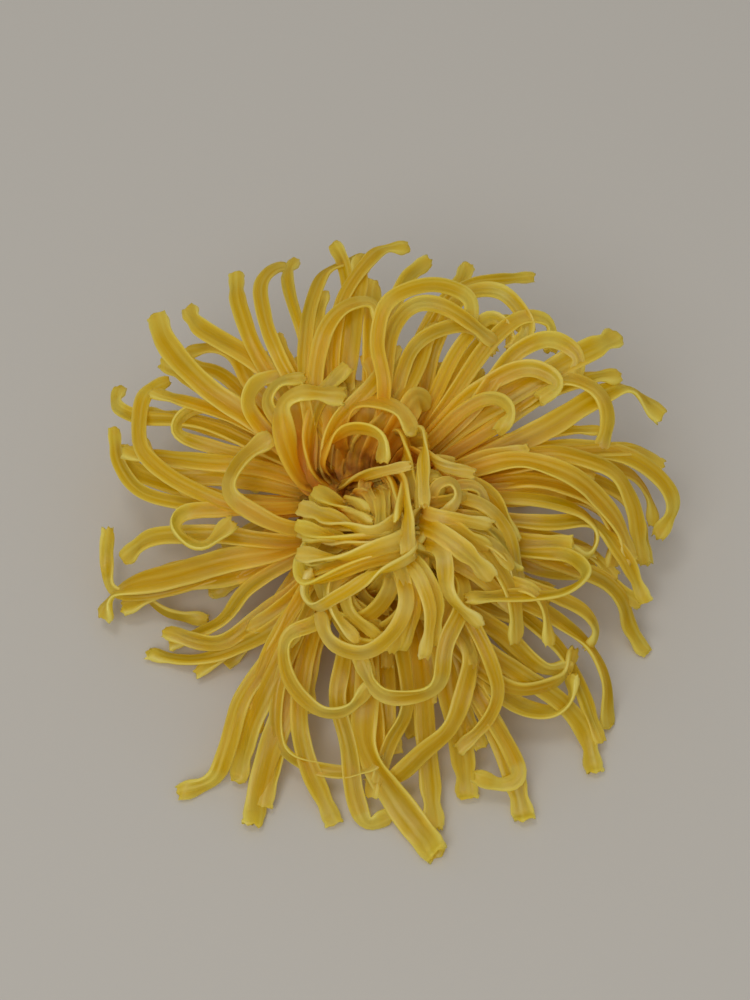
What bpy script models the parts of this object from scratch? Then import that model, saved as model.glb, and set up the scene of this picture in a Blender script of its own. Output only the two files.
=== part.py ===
"""A preserved spider chrysanthemum: one cut flower head lying tipped forward on a flat surface.

Every floret is a long flattened tube that grows from the receptacle, the small fleshy disc in the
middle. The florets and the receptacle are one body. The calyx below it, with the cut end of the
stalk, is the other. Lengths in the tables are millimetres, and the scene is in metres, +Z up.
"""

import math
import random

import bmesh
import bpy
from mathutils import Matrix, Vector

MM = 0.001

# Driving dimensions, in millimetres. The florets' places are measured from the floor point below the
# middle of the head, and HEAD_AT moves that point so that the origin is at the centre of the base.
HEAD_AT = Vector((-2.4, 6.0, 0.0))
HEAD_MIDDLE = Vector((0.0, 0.0, 20.0))
HEAD_AXIS = Vector((0.12, -0.60, 0.79)).normalized()
RECEPTACLE_RADIUS = 9.5
RECEPTACLE_DEPTH = 10.0
CORE_RADIUS = 9.0  # the packed roots of the inner florets, from which their free lengths stand out
CORE_MIDDLE = Vector((3.0, -11.0, 27.0))

ROOT_WIDTH = 1.6
ROOT_THICKNESS = 1.2
FLORET_THICKNESS = 1.1
TIP_THICKNESS = 1.2
FULL_WIDTH_AT = 0.5  # share of a floret's length where it reaches the width of its body
TIP_FROM = 0.67  # share of its length where it starts to widen towards the tip
RIM_ROOTS = 5.0  # distance of the outer florets' roots from the head's axis
CROWN_ROOTS = 2.5
CROWN_LIFT = 3.0  # how much higher the crown's roots sit in the receptacle
FLAT_FACE_UP = Vector((0.0, -0.3, 1.0))
PULL_UP = 0.35  # how fast a floret that bends turns its flat face up again
ROUTE_STEPS = 12
MOST_TURN = math.radians(36)
MOST_STEP = 22.0
LEAST_STEP = 1.0
PRESSED = 0.35  # height of a tip that lies pressed on the floor, less than half its thickness

CALYX_TOP = -3.0  # height of its flat top on the head's axis, from the middle of the receptacle
CALYX_RADIUS = 7.4
CALYX_DEPTH = 6.0
STALK_RADIUS = 2.0
STALK_LENGTH = 5.0
BRACT_LENGTH = 5.2
BRACT_WIDTH = 3.6
BRACT_THICKNESS = 0.9
BRACT_POINT = 0.55  # how much of its width a bract loses on the way to its tip
BRACTS_IN_ROW = 11
# The two rows of bracts: depth below the top, distance from the axis in cup radii, lean outwards.
BRACT_ROWS = [(1.6, 0.92, math.radians(14)), (3.8, 0.72, math.radians(38))]
CLEARANCE = 0.35
FLOOR_BLOCK = Vector((300.0, 300.0, 100.0))  # cuts flat what lies on the floor

# One floret a row: its width along the body and at the tip, then the places it passes through after
# its root, as x, y and height. They are set out by region, as they lie in the head.
LEFT = [
    (3.6, 5.2, (-24, 15, 28), (-32, 21, 30), (-39, 31, 29), (-41, 37, 28)),
    (3.0, 3.2, (-19, 15, 20), (-31, 24, 22), (-40, 32, 20)),
    (3.2, 3.0, (-21, 24, 31), (-33, 34, 30), (-35, 39, 28)),
    (3.2, 3.0, (-23, 23, 27), (-26, 29, 27), (-30, 32, 26), (-35, 33, 23)),
    (3.2, 3.6, (-20, 23, 32), (-25, 35, 34), (-26, 44, 32)),
    (2.8, 3.0, (-17, 21, 38), (-20, 30, 38), (-21, 39, 36), (-19, 45, 33), (-17, 48, 30)),
    (2.6, 4.0, (-13, 26, 39), (-16, 39, 38), (-15, 45, 35)),
    (3.2, 3.4, (-19, 10, 22), (-32, 17, 22), (-45, 20, 20), (-49, 23, 19), (-49, 28, 17)),
    (3.4, 3.0, (-24, -2, 23), (-38, 5, 23), (-43, 11, 22), (-44, 18, 22), (-43, 24, 22), (-40, 28, 20)),
    (3.0, 3.4, (-22, 14, 25), (-32, 19, 25), (-41, 23, 23)),
    (3.0, 2.8, (-16, 9, 20), (-29, 12, 21), (-37, 15, 22), (-36, 18, 23), (-30, 20, 24)),
    (3.0, 2.8, (-11, 7, 28), (-16, 9, 33), (-19, 12, 36), (-17, 15, 38), (-13, 16, 38)),
    (3.0, 2.8, (-15, 7, 26), (-20, 11, 29), (-23, 15, 32), (-21, 19, 33), (-16, 20, 33)),
    (3.0, 3.2, (-26, 0, 19), (-36, 2, 18), (-43, 5, 17), (-48, 12, 15), (-50, 21, 13)),
    (4.2, 4.8, (-21, 7, 22), (-32, 9, 21), (-46, 13, 18)),
    (3.4, 4.8, (-13, -7, 23), (-21, -5, 25), (-26, -1, 27), (-24, 4, 29), (-19, 8, 30)),
    (3.2, 4.4, (-24, -2, 22), (-35, -3, 22), (-36, -6, 22), (-31, -10, 22), (-26, -6, 23)),
    (3.4, 4.0, (-13, -6, 18), (-29, -5, 18), (-41, -4, 15), (-46, -5, 10)),
    (4.2, 6.0, (-14, -7, 17), (-25, -9, 16), (-36, -10, 12), (-48, -11, 7), (-50, -14, 4)),
    (2.4, 4.4, (-26, -9, 12), (-41, -12, 8), (-49, -10, 6), (-50, -5, 8), (-50, 0, 10)),
    (3.2, 3.0, (-15, -8, 16), (-32, -8, 12), (-40, -8, 9), (-43, -10, 6), (-39, -13, 3), (-32, -14, 2)),
    (3.4, 3.4, (-13, 3, 20), (-26, 6, 20), (-39, 8, 19), (-44, 15, 19)),
]
LOWER_LEFT = [
    (3.4, 3.8, (-14, -9, 16), (-23, -13, 12), (-28, -17, 7), (-37, -19, 2)),
    (3.4, 3.8, (-11, -15, 15), (-19, -21, 10), (-25, -22, 6), (-32, -23, 3), (-41, -21, PRESSED)),
    (3.0, 3.4, (-13, -15, 12), (-25, -21, 5), (-32, -25, 2)),
    (3.4, 5.2, (-12, -17, 19), (-16, -26, 17), (-23, -35, 12), (-26, -43, 6), (-30, -50, PRESSED)),
    (3.8, 4.4, (-11, -21, 18), (-18, -33, 14), (-22, -40, 8), (-24, -46, 2)),
    (4.4, 3.6, (-11, -22, 17), (-15, -36, 12), (-19, -45, 6), (-21, -54, PRESSED)),
    (3.2, 4.2, (-10, -25, 14), (-14, -34, 12), (-17, -43, 6), (-19, -51, 2)),
    (3.6, 4.4, (-12, -12, 14), (-20, -17, 10), (-28, -21, 6), (-38, -18, 4)),
    (3.2, 3.4, (-9, -26, 24), (-15, -29, 23), (-14, -36, 19), (-9, -40, 16), (-4, -40, 17), (-1, -37, 19)),
    (3.0, 3.0, (-13, -25, 18), (-17, -36, 13), (-16, -43, 8), (-10, -46, 6), (-4, -47, 6), (1, -46, 8)),
    (3.4, 4.4, (-11, -26, 17), (-13, -37, 12), (-12, -44, 8), (-9, -50, 3), (-7, -54, PRESSED)),
    (3.8, 5.0, (-5, -29, 18), (-6, -37, 14), (-4, -44, 9), (-3, -51, 4), (0, -56, PRESSED)),
]
FRONT = [
    (3.2, 3.6, (12, -25, 25), (17, -31, 22), (16, -37, 19), (14, -42, 15), (9, -45, 10), (4, -48, 6),
     (0, -48, 3)),
    (3.0, 3.2, (5, -27, 18), (6, -38, 14), (3, -43, 9), (1, -48, 6)),
    (4.2, 4.8, (8, -26, 17), (9, -36, 12), (10, -45, 6), (11, -55, 2)),
    (4.6, 6.4, (-1, -35, 14), (-1, -44, 9), (4, -51, 3), (8, -56, PRESSED), (11, -60, PRESSED)),
    (4.0, 5.2, (15, -27, 18), (18, -34, 14), (22, -40, 9), (25, -46, 5), (27, -53, PRESSED)),
    (2.8, 3.8, (18, -35, 14), (24, -43, 9), (26, -48, 6), (23, -49, 5), (19, -48, 6)),
    (2.8, 2.8, (16, -25, 26), (19, -30, 24), (21, -34, 21), (22, -37, 17), (20, -40, 12), (16, -43, 8)),
    (4.6, 5.4, (12, -27, 18), (14, -36, 12), (16, -43, 6), (17, -49, PRESSED)),
    (3.2, 3.2, (16, -23, 30), (13, -32, 27), (11, -38, 22), (5, -39, 20), (1, -38, 20), (-2, -33, 22)),
    (3.6, 4.0, (-2, -27, 19), (0, -35, 14), (1, -42, 9), (0, -50, 4)),
]
LOWER_RIGHT = [
    (4.0, 5.0, (18, -28, 20), (26, -32, 15), (35, -35, 8), (39, -39, 3), (40, -44, PRESSED)),
    (3.0, 2.8, (14, -28, 20), (23, -34, 15), (28, -34, 13), (34, -31, 12), (36, -27, 13)),
    (3.2, 3.4, (16, -29, 18), (23, -35, 13), (28, -36, 9), (33, -36, 8), (36, -34, 9), (36, -31, 11)),
    (3.0, 3.4, (23, -20, 24), (32, -24, 21), (38, -26, 16), (42, -30, 10), (43, -35, PRESSED)),
    (2.6, 2.8, (26, -19, 25), (34, -22, 24), (38, -23, 21), (40, -25, 17), (39, -26, 15)),
    (3.0, 3.2, (22, -20, 28), (28, -23, 29), (30, -25, 26), (31, -29, 22)),
    (3.2, 3.4, (19, -16, 32), (24, -23, 29), (25, -27, 26), (25, -29, 23)),
    (3.2, 3.2, (27, -11, 22), (35, -13, 24), (38, -18, 26), (33, -23, 28), (25, -24, 29), (17, -25, 30)),
    (3.2, 3.8, (23, -8, 20), (34, -11, 18), (42, -13, 15), (46, -15, 11), (48, -17, 5), (51, -20, PRESSED)),
    (3.4, 3.0, (22, -8, 18), (32, -12, 17), (40, -12, 16), (45, -13, 12), (49, -14, 9)),
    (3.2, 3.0, (14, -22, 24), (23, -26, 19), (31, -30, 13), (35, -29, 12)),
    (3.4, 3.6, (17, -19, 26), (26, -23, 21), (34, -27, 14), (38, -32, 8), (41, -39, 3)),
]
RIGHT = [
    (3.0, 3.2, (30, -6, 24), (40, -5, 22), (45, -9, 19), (48, -12, 15), (50, -15, 12)),
    (4.2, 4.4, (17, 1, 30), (27, 2, 32), (35, 0, 31), (41, -2, 26), (45, -5, 21), (47, -9, 17)),
    (3.2, 3.6, (29, 5, 30), (38, 4, 30), (44, 2, 28), (47, -1, 24), (49, -4, 18), (50, -7, 13)),
    (3.4, 3.4, (23, 7, 26), (39, 8, 27), (47, 7, 26), (53, 5, 22), (56, 2, 17), (54, -1, 12)),
    (3.2, 3.8, (21, -2, 26), (30, -3, 27), (38, -4, 24), (41, -7, 21), (39, -11, 20), (36, -10, 21)),
    (3.6, 3.4, (20, 1, 25), (30, 1, 27), (40, -1, 24), (44, -5, 19), (44, -9, 15)),
    (3.2, 3.2, (22, -5, 20), (31, -7, 20), (39, -8, 18), (44, -11, 14)),
    (3.2, 3.6, (24, 7, 25), (34, 7, 27), (44, 8, 27), (49, 9, 25), (53, 8, 22)),
    (3.0, 3.0, (27, 7, 22), (40, 7, 23), (48, 7, 20), (52, 5, 15), (53, 2, 12)),
    (3.4, 4.0, (18, 6, 26), (31, 10, 30), (40, 15, 32), (47, 19, 31), (53, 16, 27)),
    (3.0, 3.0, (27, 15, 32), (35, 18, 35), (41, 16, 34), (43, 12, 31), (42, 8, 26)),
    (3.0, 4.2, (18, 12, 30), (33, 20, 35), (42, 25, 36), (45, 28, 34)),
]
UPPER_RIGHT = [
    (3.2, 3.0, (18, 13, 32), (27, 23, 37), (33, 25, 38), (38, 22, 36), (37, 19, 34)),
    (3.6, 3.6, (14, 12, 32), (20, 17, 34), (29, 19, 37), (34, 16, 36), (31, 14, 35)),
    (3.2, 3.4, (11, 8, 30), (16, 12, 33), (22, 13, 36), (25, 9, 37), (23, 7, 35)),
    (3.0, 2.8, (14, 15, 32), (22, 25, 37), (28, 30, 38), (33, 30, 36), (33, 26, 34)),
    (3.0, 3.0, (11, 15, 32), (16, 24, 37), (22, 30, 38), (25, 28, 37), (26, 25, 34)),
    (3.2, 3.2, (9, 17, 30), (12, 26, 36), (17, 34, 39), (24, 35, 39), (29, 28, 37), (26, 25, 35)),
    (3.0, 2.6, (7, 20, 28), (12, 32, 34), (17, 38, 36), (23, 41, 35), (30, 44, 32)),
    (3.0, 3.0, (4, 13, 36), (8, 23, 39), (14, 26, 40), (19, 27, 38), (22, 24, 36)),
    (3.2, 3.2, (2, 13, 38), (4, 25, 41), (8, 29, 43), (12, 29, 43), (17, 27, 41), (22, 25, 37)),
    (3.2, 3.4, (2, 13, 40), (1, 21, 43), (3, 28, 45), (11, 32, 45), (18, 31, 42), (18, 28, 39)),
]
TOP = [
    (3.2, 3.0, (-12, 13, 36), (-12, 25, 40), (-11, 32, 40), (-9, 40, 38), (-6, 44, 36), (-2, 47, 34)),
    (3.0, 4.0, (-7, 14, 34), (-6, 30, 40), (-4, 35, 41), (-1, 41, 40), (2, 46, 38), (6, 48, 36)),
    (3.2, 3.2, (-10, 13, 36), (-9, 23, 41), (-5, 29, 42), (0, 31, 41), (1, 29, 39)),
    (4.0, 4.0, (-13, 2, 26), (-16, 7, 34), (-16, 11, 37), (-13, 12, 39), (-6, 12, 38)),
    (3.8, 4.0, (-5, 11, 32), (-4, 25, 38), (-3, 35, 40), (-2, 43, 38)),
    (3.6, 3.8, (0, 13, 32), (0, 25, 37), (0, 37, 38)),
    (3.0, 4.0, (1, 19, 30), (3, 31, 35), (6, 39, 37), (10, 45, 35)),
    (3.0, 4.4, (5, 20, 28), (11, 33, 33), (16, 40, 34), (18, 46, 32)),
    (3.4, 3.6, (-6, 7, 32), (-4, 11, 36), (0, 11, 38), (5, 9, 38), (7, 6, 36)),
    (3.4, 3.8, (-9, 3, 31), (-5, 6, 36), (-1, 5, 38), (2, 3, 38), (2, 0, 36)),
    (3.4, 3.6, (-11, 3, 28), (-11, 10, 34), (-8, 14, 38), (-5, 17, 39)),
    (3.4, 3.6, (-9, 3, 28), (-7, 8, 34), (-2, 12, 38), (2, 17, 39), (4, 22, 38)),
    (3.4, 3.8, (-3, 7, 31), (2, 9, 35), (7, 16, 37), (11, 28, 37)),
    (3.2, 3.4, (-9, 11, 31), (-9, 19, 37), (-10, 26, 40), (-9, 34, 39)),
    (3.0, 4.2, (-4, 17, 30), (-4, 31, 36), (-5, 41, 37), (-7, 49, 35)),
]
CROWN = [
    (4.2, 4.4, (1, 1, 30), (5, -4, 36), (6, -11, 39), (6, -20, 38)),
    (3.4, 3.8, (5, 7, 31), (9, 6, 36), (9, -3, 39), (9, -11, 39)),
    (4.2, 4.6, (5, -13, 36), (0, -17, 38), (-6, -13, 36), (-12, -8, 32)),
    (4.2, 4.6, (5, -18, 36), (-1, -19, 37), (-6, -16, 35), (-12, -12, 31)),
    (4.0, 4.2, (5, -18, 38), (2, -20, 39), (-5, -21, 37), (-12, -18, 33)),
    (3.6, 3.6, (7, -21, 38), (0, -25, 38), (-6, -27, 34), (-10, -27, 30), (-12, -23, 29), (-11, -20, 30)),
    (3.0, 3.0, (-4, -20, 31), (-7, -23, 31), (-7, -27, 30), (-3, -31, 27)),
    (3.6, 3.6, (5, -22, 33), (6, -28, 34), (4, -32, 31), (-1, -34, 27), (-7, -31, 25), (-9, -26, 25)),
    (3.6, 4.0, (6, -20, 34), (8, -24, 36), (10, -29, 33), (9, -34, 27)),
    (3.8, 4.2, (9, -16, 34), (12, -20, 37), (13, -26, 34), (18, -29, 29)),
    (4.6, 5.0, (8, -12, 34), (12, -17, 38), (16, -20, 37), (20, -22, 33)),
    (3.4, 3.6, (8, -8, 33), (10, -13, 38), (14, -14, 38), (20, -13, 35)),
    (3.2, 3.4, (10, -9, 35), (11, -7, 38), (14, -6, 38), (15, -9, 37), (13, -11, 36)),
    (3.4, 3.6, (13, -6, 33), (20, -9, 34), (24, -12, 30), (26, -19, 25)),
    (3.0, 3.2, (12, -6, 32), (15, -5, 35), (19, -5, 34), (20, -7, 31)),
    (3.0, 3.2, (-6, 0, 26), (-3, -2, 32), (1, -3, 36), (6, -3, 38)),
    (3.2, 3.4, (-4, -7, 31), (0, -12, 34), (3, -18, 36)),
    (3.2, 3.4, (-2, -4, 32), (2, -11, 35), (4, -17, 36)),
    (3.2, 3.4, (9, 3, 34), (12, -2, 37), (17, -3, 36)),
    (3.4, 3.6, (14, -13, 33), (21, -16, 33), (24, -18, 30), (25, -22, 27)),
    (3.4, 3.6, (14, -18, 31), (19, -21, 30), (24, -24, 26)),
]
# Florets under the head, by a rule: the first and last heading, how many, and how far they reach.
UNDER_FANS = [(135, 205, 3, 33), (215, 330, 6, 36), (-25, 30, 3, 36)]
HIND_LEGS = [(78, 36), (122, 37)]
UNDER_SEED = 7
UNDER_WIDTH = 3.2
UNDER_TIP_WIDTH = 3.8
UNDER_LEAVES = 12.0  # how far out in the plane of the rim they run before they arch down
UNDER_ARCH = [(0.62, 0.55), (0.87, 0.2)]  # shares of the reach, and of the height they leave at


def smooth_route(points, steps):
    """Points on a centripetal Catmull-Rom curve through the given ones."""
    ends = [2 * points[0] - points[1], *points, 2 * points[-1] - points[-2]]
    route = []
    for before, start, end, after in zip(ends, ends[1:], ends[2:], ends[3:]):
        gap = [math.sqrt((b - a).length) for a, b in ((before, start), (start, end), (end, after))]
        leave = end - start + gap[1] * ((start - before) / gap[0] - (end - before) / (gap[0] + gap[1]))
        arrive = end - start + gap[1] * ((after - end) / gap[2] - (after - start) / (gap[1] + gap[2]))
        for step in range(steps):
            t = step / steps
            route.append(
                (2 * t**3 - 3 * t**2 + 1) * start
                + (t**3 - 2 * t**2 + t) * leave
                + (3 * t**2 - 2 * t**3) * end
                + (t**3 - t**2) * arrive
            )
    return [*route, points[-1]]


def thinned(route):
    """The points of a route that its shape needs: close where it bends, far apart where it is straight."""
    kept = [route[0]]
    heading = (route[1] - route[0]).normalized()
    for here, ahead in zip(route[1:-1], route[2:]):
        now = (ahead - here).normalized()
        if now.angle(heading) > MOST_TURN or (here - kept[-1]).length > MOST_STEP:
            kept.append(here)
            heading = now
    if (route[-1] - kept[-1]).length < LEAST_STEP and len(kept) > 2:
        kept.pop()
    return [*kept, route[-1]]


def root_of(first, ring):
    """Where a floret grows from: inside the receptacle, on the side that the floret leaves by."""
    out = first - HEAD_MIDDLE
    out -= out.dot(HEAD_AXIS) * HEAD_AXIS
    lift = CROWN_LIFT if ring < RIM_ROOTS else 0.0
    return HEAD_MIDDLE + ring * out.normalized() + lift * HEAD_AXIS


def flat_sides(route):
    """For each point, the direction that the floret's flat face looks in: up, turning as it bends."""
    sides = []
    side = FLAT_FACE_UP
    for i in range(len(route)):
        along = (route[min(i + 1, len(route) - 1)] - route[max(i - 1, 0)]).normalized()
        side = side - side.dot(along) * along
        side += PULL_UP * (FLAT_FACE_UP - FLAT_FACE_UP.dot(along) * along)
        side = (side - side.dot(along) * along).normalized()
        sides.append((along, side.copy()))
    return sides


def floret(name, width, tip_width, places, ring, helpers):
    """One floret as a closed flat strap, lofted between sections that widen from root to tip."""
    points = [Vector(place) for place in places]
    route = thinned(smooth_route([root_of(points[0], ring), *points], ROUTE_STEPS))
    mesh = bmesh.new()
    sections = []
    for i, (here, (along, side)) in enumerate(zip(route, flat_sides(route))):
        share = i / (len(route) - 1)
        across = along.cross(side)
        grown = min(1.0, share / FULL_WIDTH_AT)
        flared = max(0.0, share - TIP_FROM) / (1 - TIP_FROM)
        wide = ROOT_WIDTH + (width - ROOT_WIDTH) * grown + (tip_width - width) * flared
        thick = ROOT_THICKNESS + (FLORET_THICKNESS - ROOT_THICKNESS) * grown
        thick += (TIP_THICKNESS - FLORET_THICKNESS) * flared
        corners = []
        for x, y in ((-0.5, -0.5), (0.5, -0.5), (0.5, 0.5), (-0.5, 0.5)):
            spot = here + x * wide * across + y * thick * side + HEAD_AT
            corners.append(mesh.verts.new(spot * MM))
        sections.append(corners)
    for low, high in zip(sections, sections[1:]):
        for a, b in ((0, 1), (1, 2), (2, 3), (3, 0)):
            mesh.faces.new((low[a], low[b], high[b]))
            mesh.faces.new((low[a], high[b], high[a]))
    for corners, turn in ((sections[0], -1), (sections[-1], 1)):
        a, b, c, d = corners[::turn]
        mesh.faces.new((a, b, c))
        mesh.faces.new((a, c, d))
    bmesh.ops.recalc_face_normals(mesh, faces=mesh.faces)
    data = bpy.data.meshes.new(name)
    mesh.to_mesh(data)
    mesh.free()
    helpers.objects.link(bpy.data.objects.new(name, data))


def under_florets():
    """The florets below the head, which the others hide: they arch out and come down to the floor."""
    draw = random.Random(UNDER_SEED)
    rows = []
    for first, last, count, reach in UNDER_FANS:
        for i in range(count):
            heading = first + (last - first) * (i + draw.uniform(0.2, 0.8)) / count
            rows.append((heading, reach + draw.uniform(-5, 3)))
    rows += HIND_LEGS
    for heading, reach in rows:
        out = Vector((math.cos(math.radians(heading)), math.sin(math.radians(heading)), 0))
        rim = (out - out.dot(HEAD_AXIS) * HEAD_AXIS).normalized()
        leave = HEAD_MIDDLE + UNDER_LEAVES * rim - HEAD_AXIS
        places = [leave]
        for share, height in UNDER_ARCH:
            places.append(share * reach * out + Vector((0, 0, height * leave.z)))
        yield UNDER_WIDTH, UNDER_TIP_WIDTH, *places, reach * out + Vector((0, 0, PRESSED))


def head_matrix(height):
    """Places a piece on the head's axis, at a height above the middle of the receptacle."""
    turn = HEAD_AXIS.to_track_quat("Z", "Y").to_matrix().to_4x4()
    return Matrix.Translation((HEAD_AT + HEAD_MIDDLE + height * HEAD_AXIS) * MM) @ turn


def new_object(name, mesh, collection, matrix):
    data = bpy.data.meshes.new(name)
    mesh.to_mesh(data)
    mesh.free()
    made = bpy.data.objects.new(name, data)
    made.matrix_world = matrix
    collection.objects.link(made)
    return made


def boolean(target, operation, other, solver="EXACT"):
    """Joins or cuts a mesh object with an object or a collection, and keeps the result as its mesh."""
    step = target.modifiers.new(operation.lower(), "BOOLEAN")
    step.operation = operation
    step.solver = solver
    if isinstance(other, bpy.types.Collection):
        step.operand_type = "COLLECTION"
        step.collection = other
    else:
        step.object = other
    bpy.context.view_layer.update()
    result = bpy.data.meshes.new_from_object(target.evaluated_get(bpy.context.evaluated_depsgraph_get()))
    target.modifiers.clear()
    target.data = result


def keep_largest_body(target):
    """Drops loose scraps and the skins of sealed hollows, so that one solid body is left."""
    mesh = bmesh.new()
    mesh.from_mesh(target.data)
    waiting = set(mesh.verts)
    bodies = []
    while waiting:
        body = [waiting.pop()]
        for vert in body:
            for edge in vert.link_edges:
                other = edge.other_vert(vert)
                if other in waiting:
                    waiting.remove(other)
                    body.append(other)
        bodies.append(body)
    bodies.sort(key=len)
    bmesh.ops.delete(mesh, geom=[vert for body in bodies[:-1] for vert in body], context="VERTS")
    mesh.to_mesh(target.data)
    mesh.free()


def remove_all(collection):
    for helper in list(collection.objects):
        bpy.data.objects.remove(helper)
    bpy.data.collections.remove(collection)


def turned(name, profile, collection, sides):
    """A solid turned round the head's axis, from its profile of radius and height, top to bottom."""
    mesh = bmesh.new()
    verts = [mesh.verts.new((radius * MM, 0, height * MM)) for radius, height in profile]
    for a, b in zip(verts, verts[1:]):
        mesh.edges.new((a, b))
    made = new_object(name, mesh, collection, head_matrix(0))
    turn = made.modifiers.new("turn", "SCREW")
    turn.steps = turn.render_steps = sides
    turn.use_merge_vertices = True
    turn.merge_threshold = 1e-5
    turn.use_normal_calculate = True
    return made


def calyx_profile(grow):
    """The cup and the stalk stub, every surface moved out by the same distance."""
    top = CALYX_TOP + grow
    bottom = CALYX_TOP - CALYX_DEPTH
    return [
        (0, top),
        (CALYX_RADIUS + grow, top),
        (CALYX_RADIUS + 0.3 + grow, CALYX_TOP - 1.2),
        (0.88 * CALYX_RADIUS + grow, CALYX_TOP - 0.5 * CALYX_DEPTH),
        (0.58 * CALYX_RADIUS + grow, CALYX_TOP - 0.82 * CALYX_DEPTH - grow),
        (STALK_RADIUS + grow, bottom - grow),
        (STALK_RADIUS + grow, bottom - STALK_LENGTH - grow),
        (0, bottom - STALK_LENGTH - grow),
    ]


def bract(name, heading, row, helpers):
    """One pointed scale of the calyx, lying against the cup: a flattened sphere drawn out to a tip."""
    mesh = bmesh.new()
    bmesh.ops.create_uvsphere(mesh, u_segments=6, v_segments=6, radius=0.5)
    for vert in mesh.verts:
        narrowed = BRACT_WIDTH * (1.0 - BRACT_POINT * max(0.0, 2 * vert.co.z))
        vert.co = Vector((vert.co.x * BRACT_THICKNESS, vert.co.y * narrowed, vert.co.z * BRACT_LENGTH)) * MM
    depth, reach, lean = BRACT_ROWS[row]
    spot = Vector((reach * CALYX_RADIUS, 0, CALYX_TOP - depth)) * MM
    place = Matrix.Rotation(heading, 4, "Z") @ Matrix.Translation(spot) @ Matrix.Rotation(lean, 4, "Y")
    new_object(name, mesh, helpers, head_matrix(0) @ place)


def material(name, colour, roughness):
    made = bpy.data.materials.new(name)
    made.use_nodes = True
    shader = made.node_tree.nodes["Principled BSDF"]
    shader.inputs["Base Color"].default_value = (*colour, 1.0)
    shader.inputs["Roughness"].default_value = roughness
    return made


def make_bloom(parts, helpers, calyx_space):
    """The receptacle with every floret joined to it, cleared round the calyx and flat on the floor."""
    mesh = bmesh.new()
    bmesh.ops.create_uvsphere(mesh, u_segments=16, v_segments=10, radius=RECEPTACLE_RADIUS * MM)
    bmesh.ops.scale(mesh, vec=(1, 1, 0.5 * RECEPTACLE_DEPTH / RECEPTACLE_RADIUS), verts=mesh.verts)
    bloom = new_object("bloom", mesh, parts, head_matrix(0))
    mesh = bmesh.new()
    bmesh.ops.create_uvsphere(mesh, u_segments=16, v_segments=10, radius=CORE_RADIUS * MM)
    new_object("packed_roots", mesh, helpers, Matrix.Translation((HEAD_AT + CORE_MIDDLE) * MM))
    outer = [*LEFT, *LOWER_LEFT, *FRONT, *LOWER_RIGHT, *RIGHT, *UPPER_RIGHT, *TOP, *under_florets()]
    for i, (width, tip_width, *places) in enumerate(outer):
        floret(f"floret_{i}", width, tip_width, places, RIM_ROOTS, helpers)
    for i, (width, tip_width, *places) in enumerate(CROWN):
        floret(f"crown_floret_{i}", width, tip_width, places, CROWN_ROOTS, helpers)
    boolean(bloom, "UNION", helpers, "MANIFOLD")
    boolean(bloom, "DIFFERENCE", calyx_space, "MANIFOLD")
    mesh = bmesh.new()
    bmesh.ops.create_cube(mesh, size=1.0)
    bmesh.ops.scale(mesh, vec=FLOOR_BLOCK * MM, verts=mesh.verts)
    floor = new_object("floor", mesh, helpers, Matrix.Translation((0, 0, -0.5 * FLOOR_BLOCK.z * MM)))
    boolean(bloom, "DIFFERENCE", floor, "MANIFOLD")
    keep_largest_body(bloom)
    bloom.data.materials.clear()
    bloom.data.materials.append(material("dried petal yellow", (0.62, 0.41, 0.05), 0.55))
    return bloom


def make_calyx(parts, helpers):
    """The cup of overlapping bracts, with the stub that the stalk was cut to."""
    calyx = turned("calyx", calyx_profile(0), parts, 22)
    for row in range(len(BRACT_ROWS)):
        for i in range(BRACTS_IN_ROW):
            heading = 2 * math.pi * (i + 0.5 * row) / BRACTS_IN_ROW
            bract(f"bract_{row}_{i}", heading, row, helpers)
    boolean(calyx, "UNION", helpers)
    calyx.data.materials.clear()
    calyx.data.materials.append(material("calyx green-brown", (0.13, 0.12, 0.035), 0.75))
    return calyx


def main():
    for old in list(bpy.data.objects):
        bpy.data.objects.remove(old)
    parts = bpy.data.collections.new("chrysanthemum_flower")
    bract_helpers = bpy.data.collections.new("bracts")
    floret_helpers = bpy.data.collections.new("florets")
    cutters = bpy.data.collections.new("cutters")
    for collection in (parts, bract_helpers, floret_helpers, cutters):
        bpy.context.scene.collection.children.link(collection)
    make_calyx(parts, bract_helpers)
    calyx_space = turned("calyx_space", calyx_profile(CLEARANCE + BRACT_THICKNESS), cutters, 22)
    calyx_space.hide_render = True
    calyx_space.display_type = "WIRE"
    make_bloom(parts, floret_helpers, calyx_space)
    for collection in (bract_helpers, floret_helpers, cutters):
        remove_all(collection)


main()
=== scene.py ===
# %% [markdown]
# # A preserved spider chrysanthemum
#
# The subject is one cut flower head, dried so that it keeps its yellow. Its stem is cut off, so it lies
# tipped forward on a flat surface, on the tips of its lowest florets. In this lesson you dress a plain
# faceted model of it. The plain model gives the size and the place of the main florets. You replace them
# with finer ones on nearly the same paths, and add more between them. The petals get three finishes, and
# the receptacle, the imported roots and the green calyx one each.

# %% Load the plain model
import math
import random

import bmesh
import bpy
import numpy as np
from mathutils import Matrix, Vector


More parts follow.
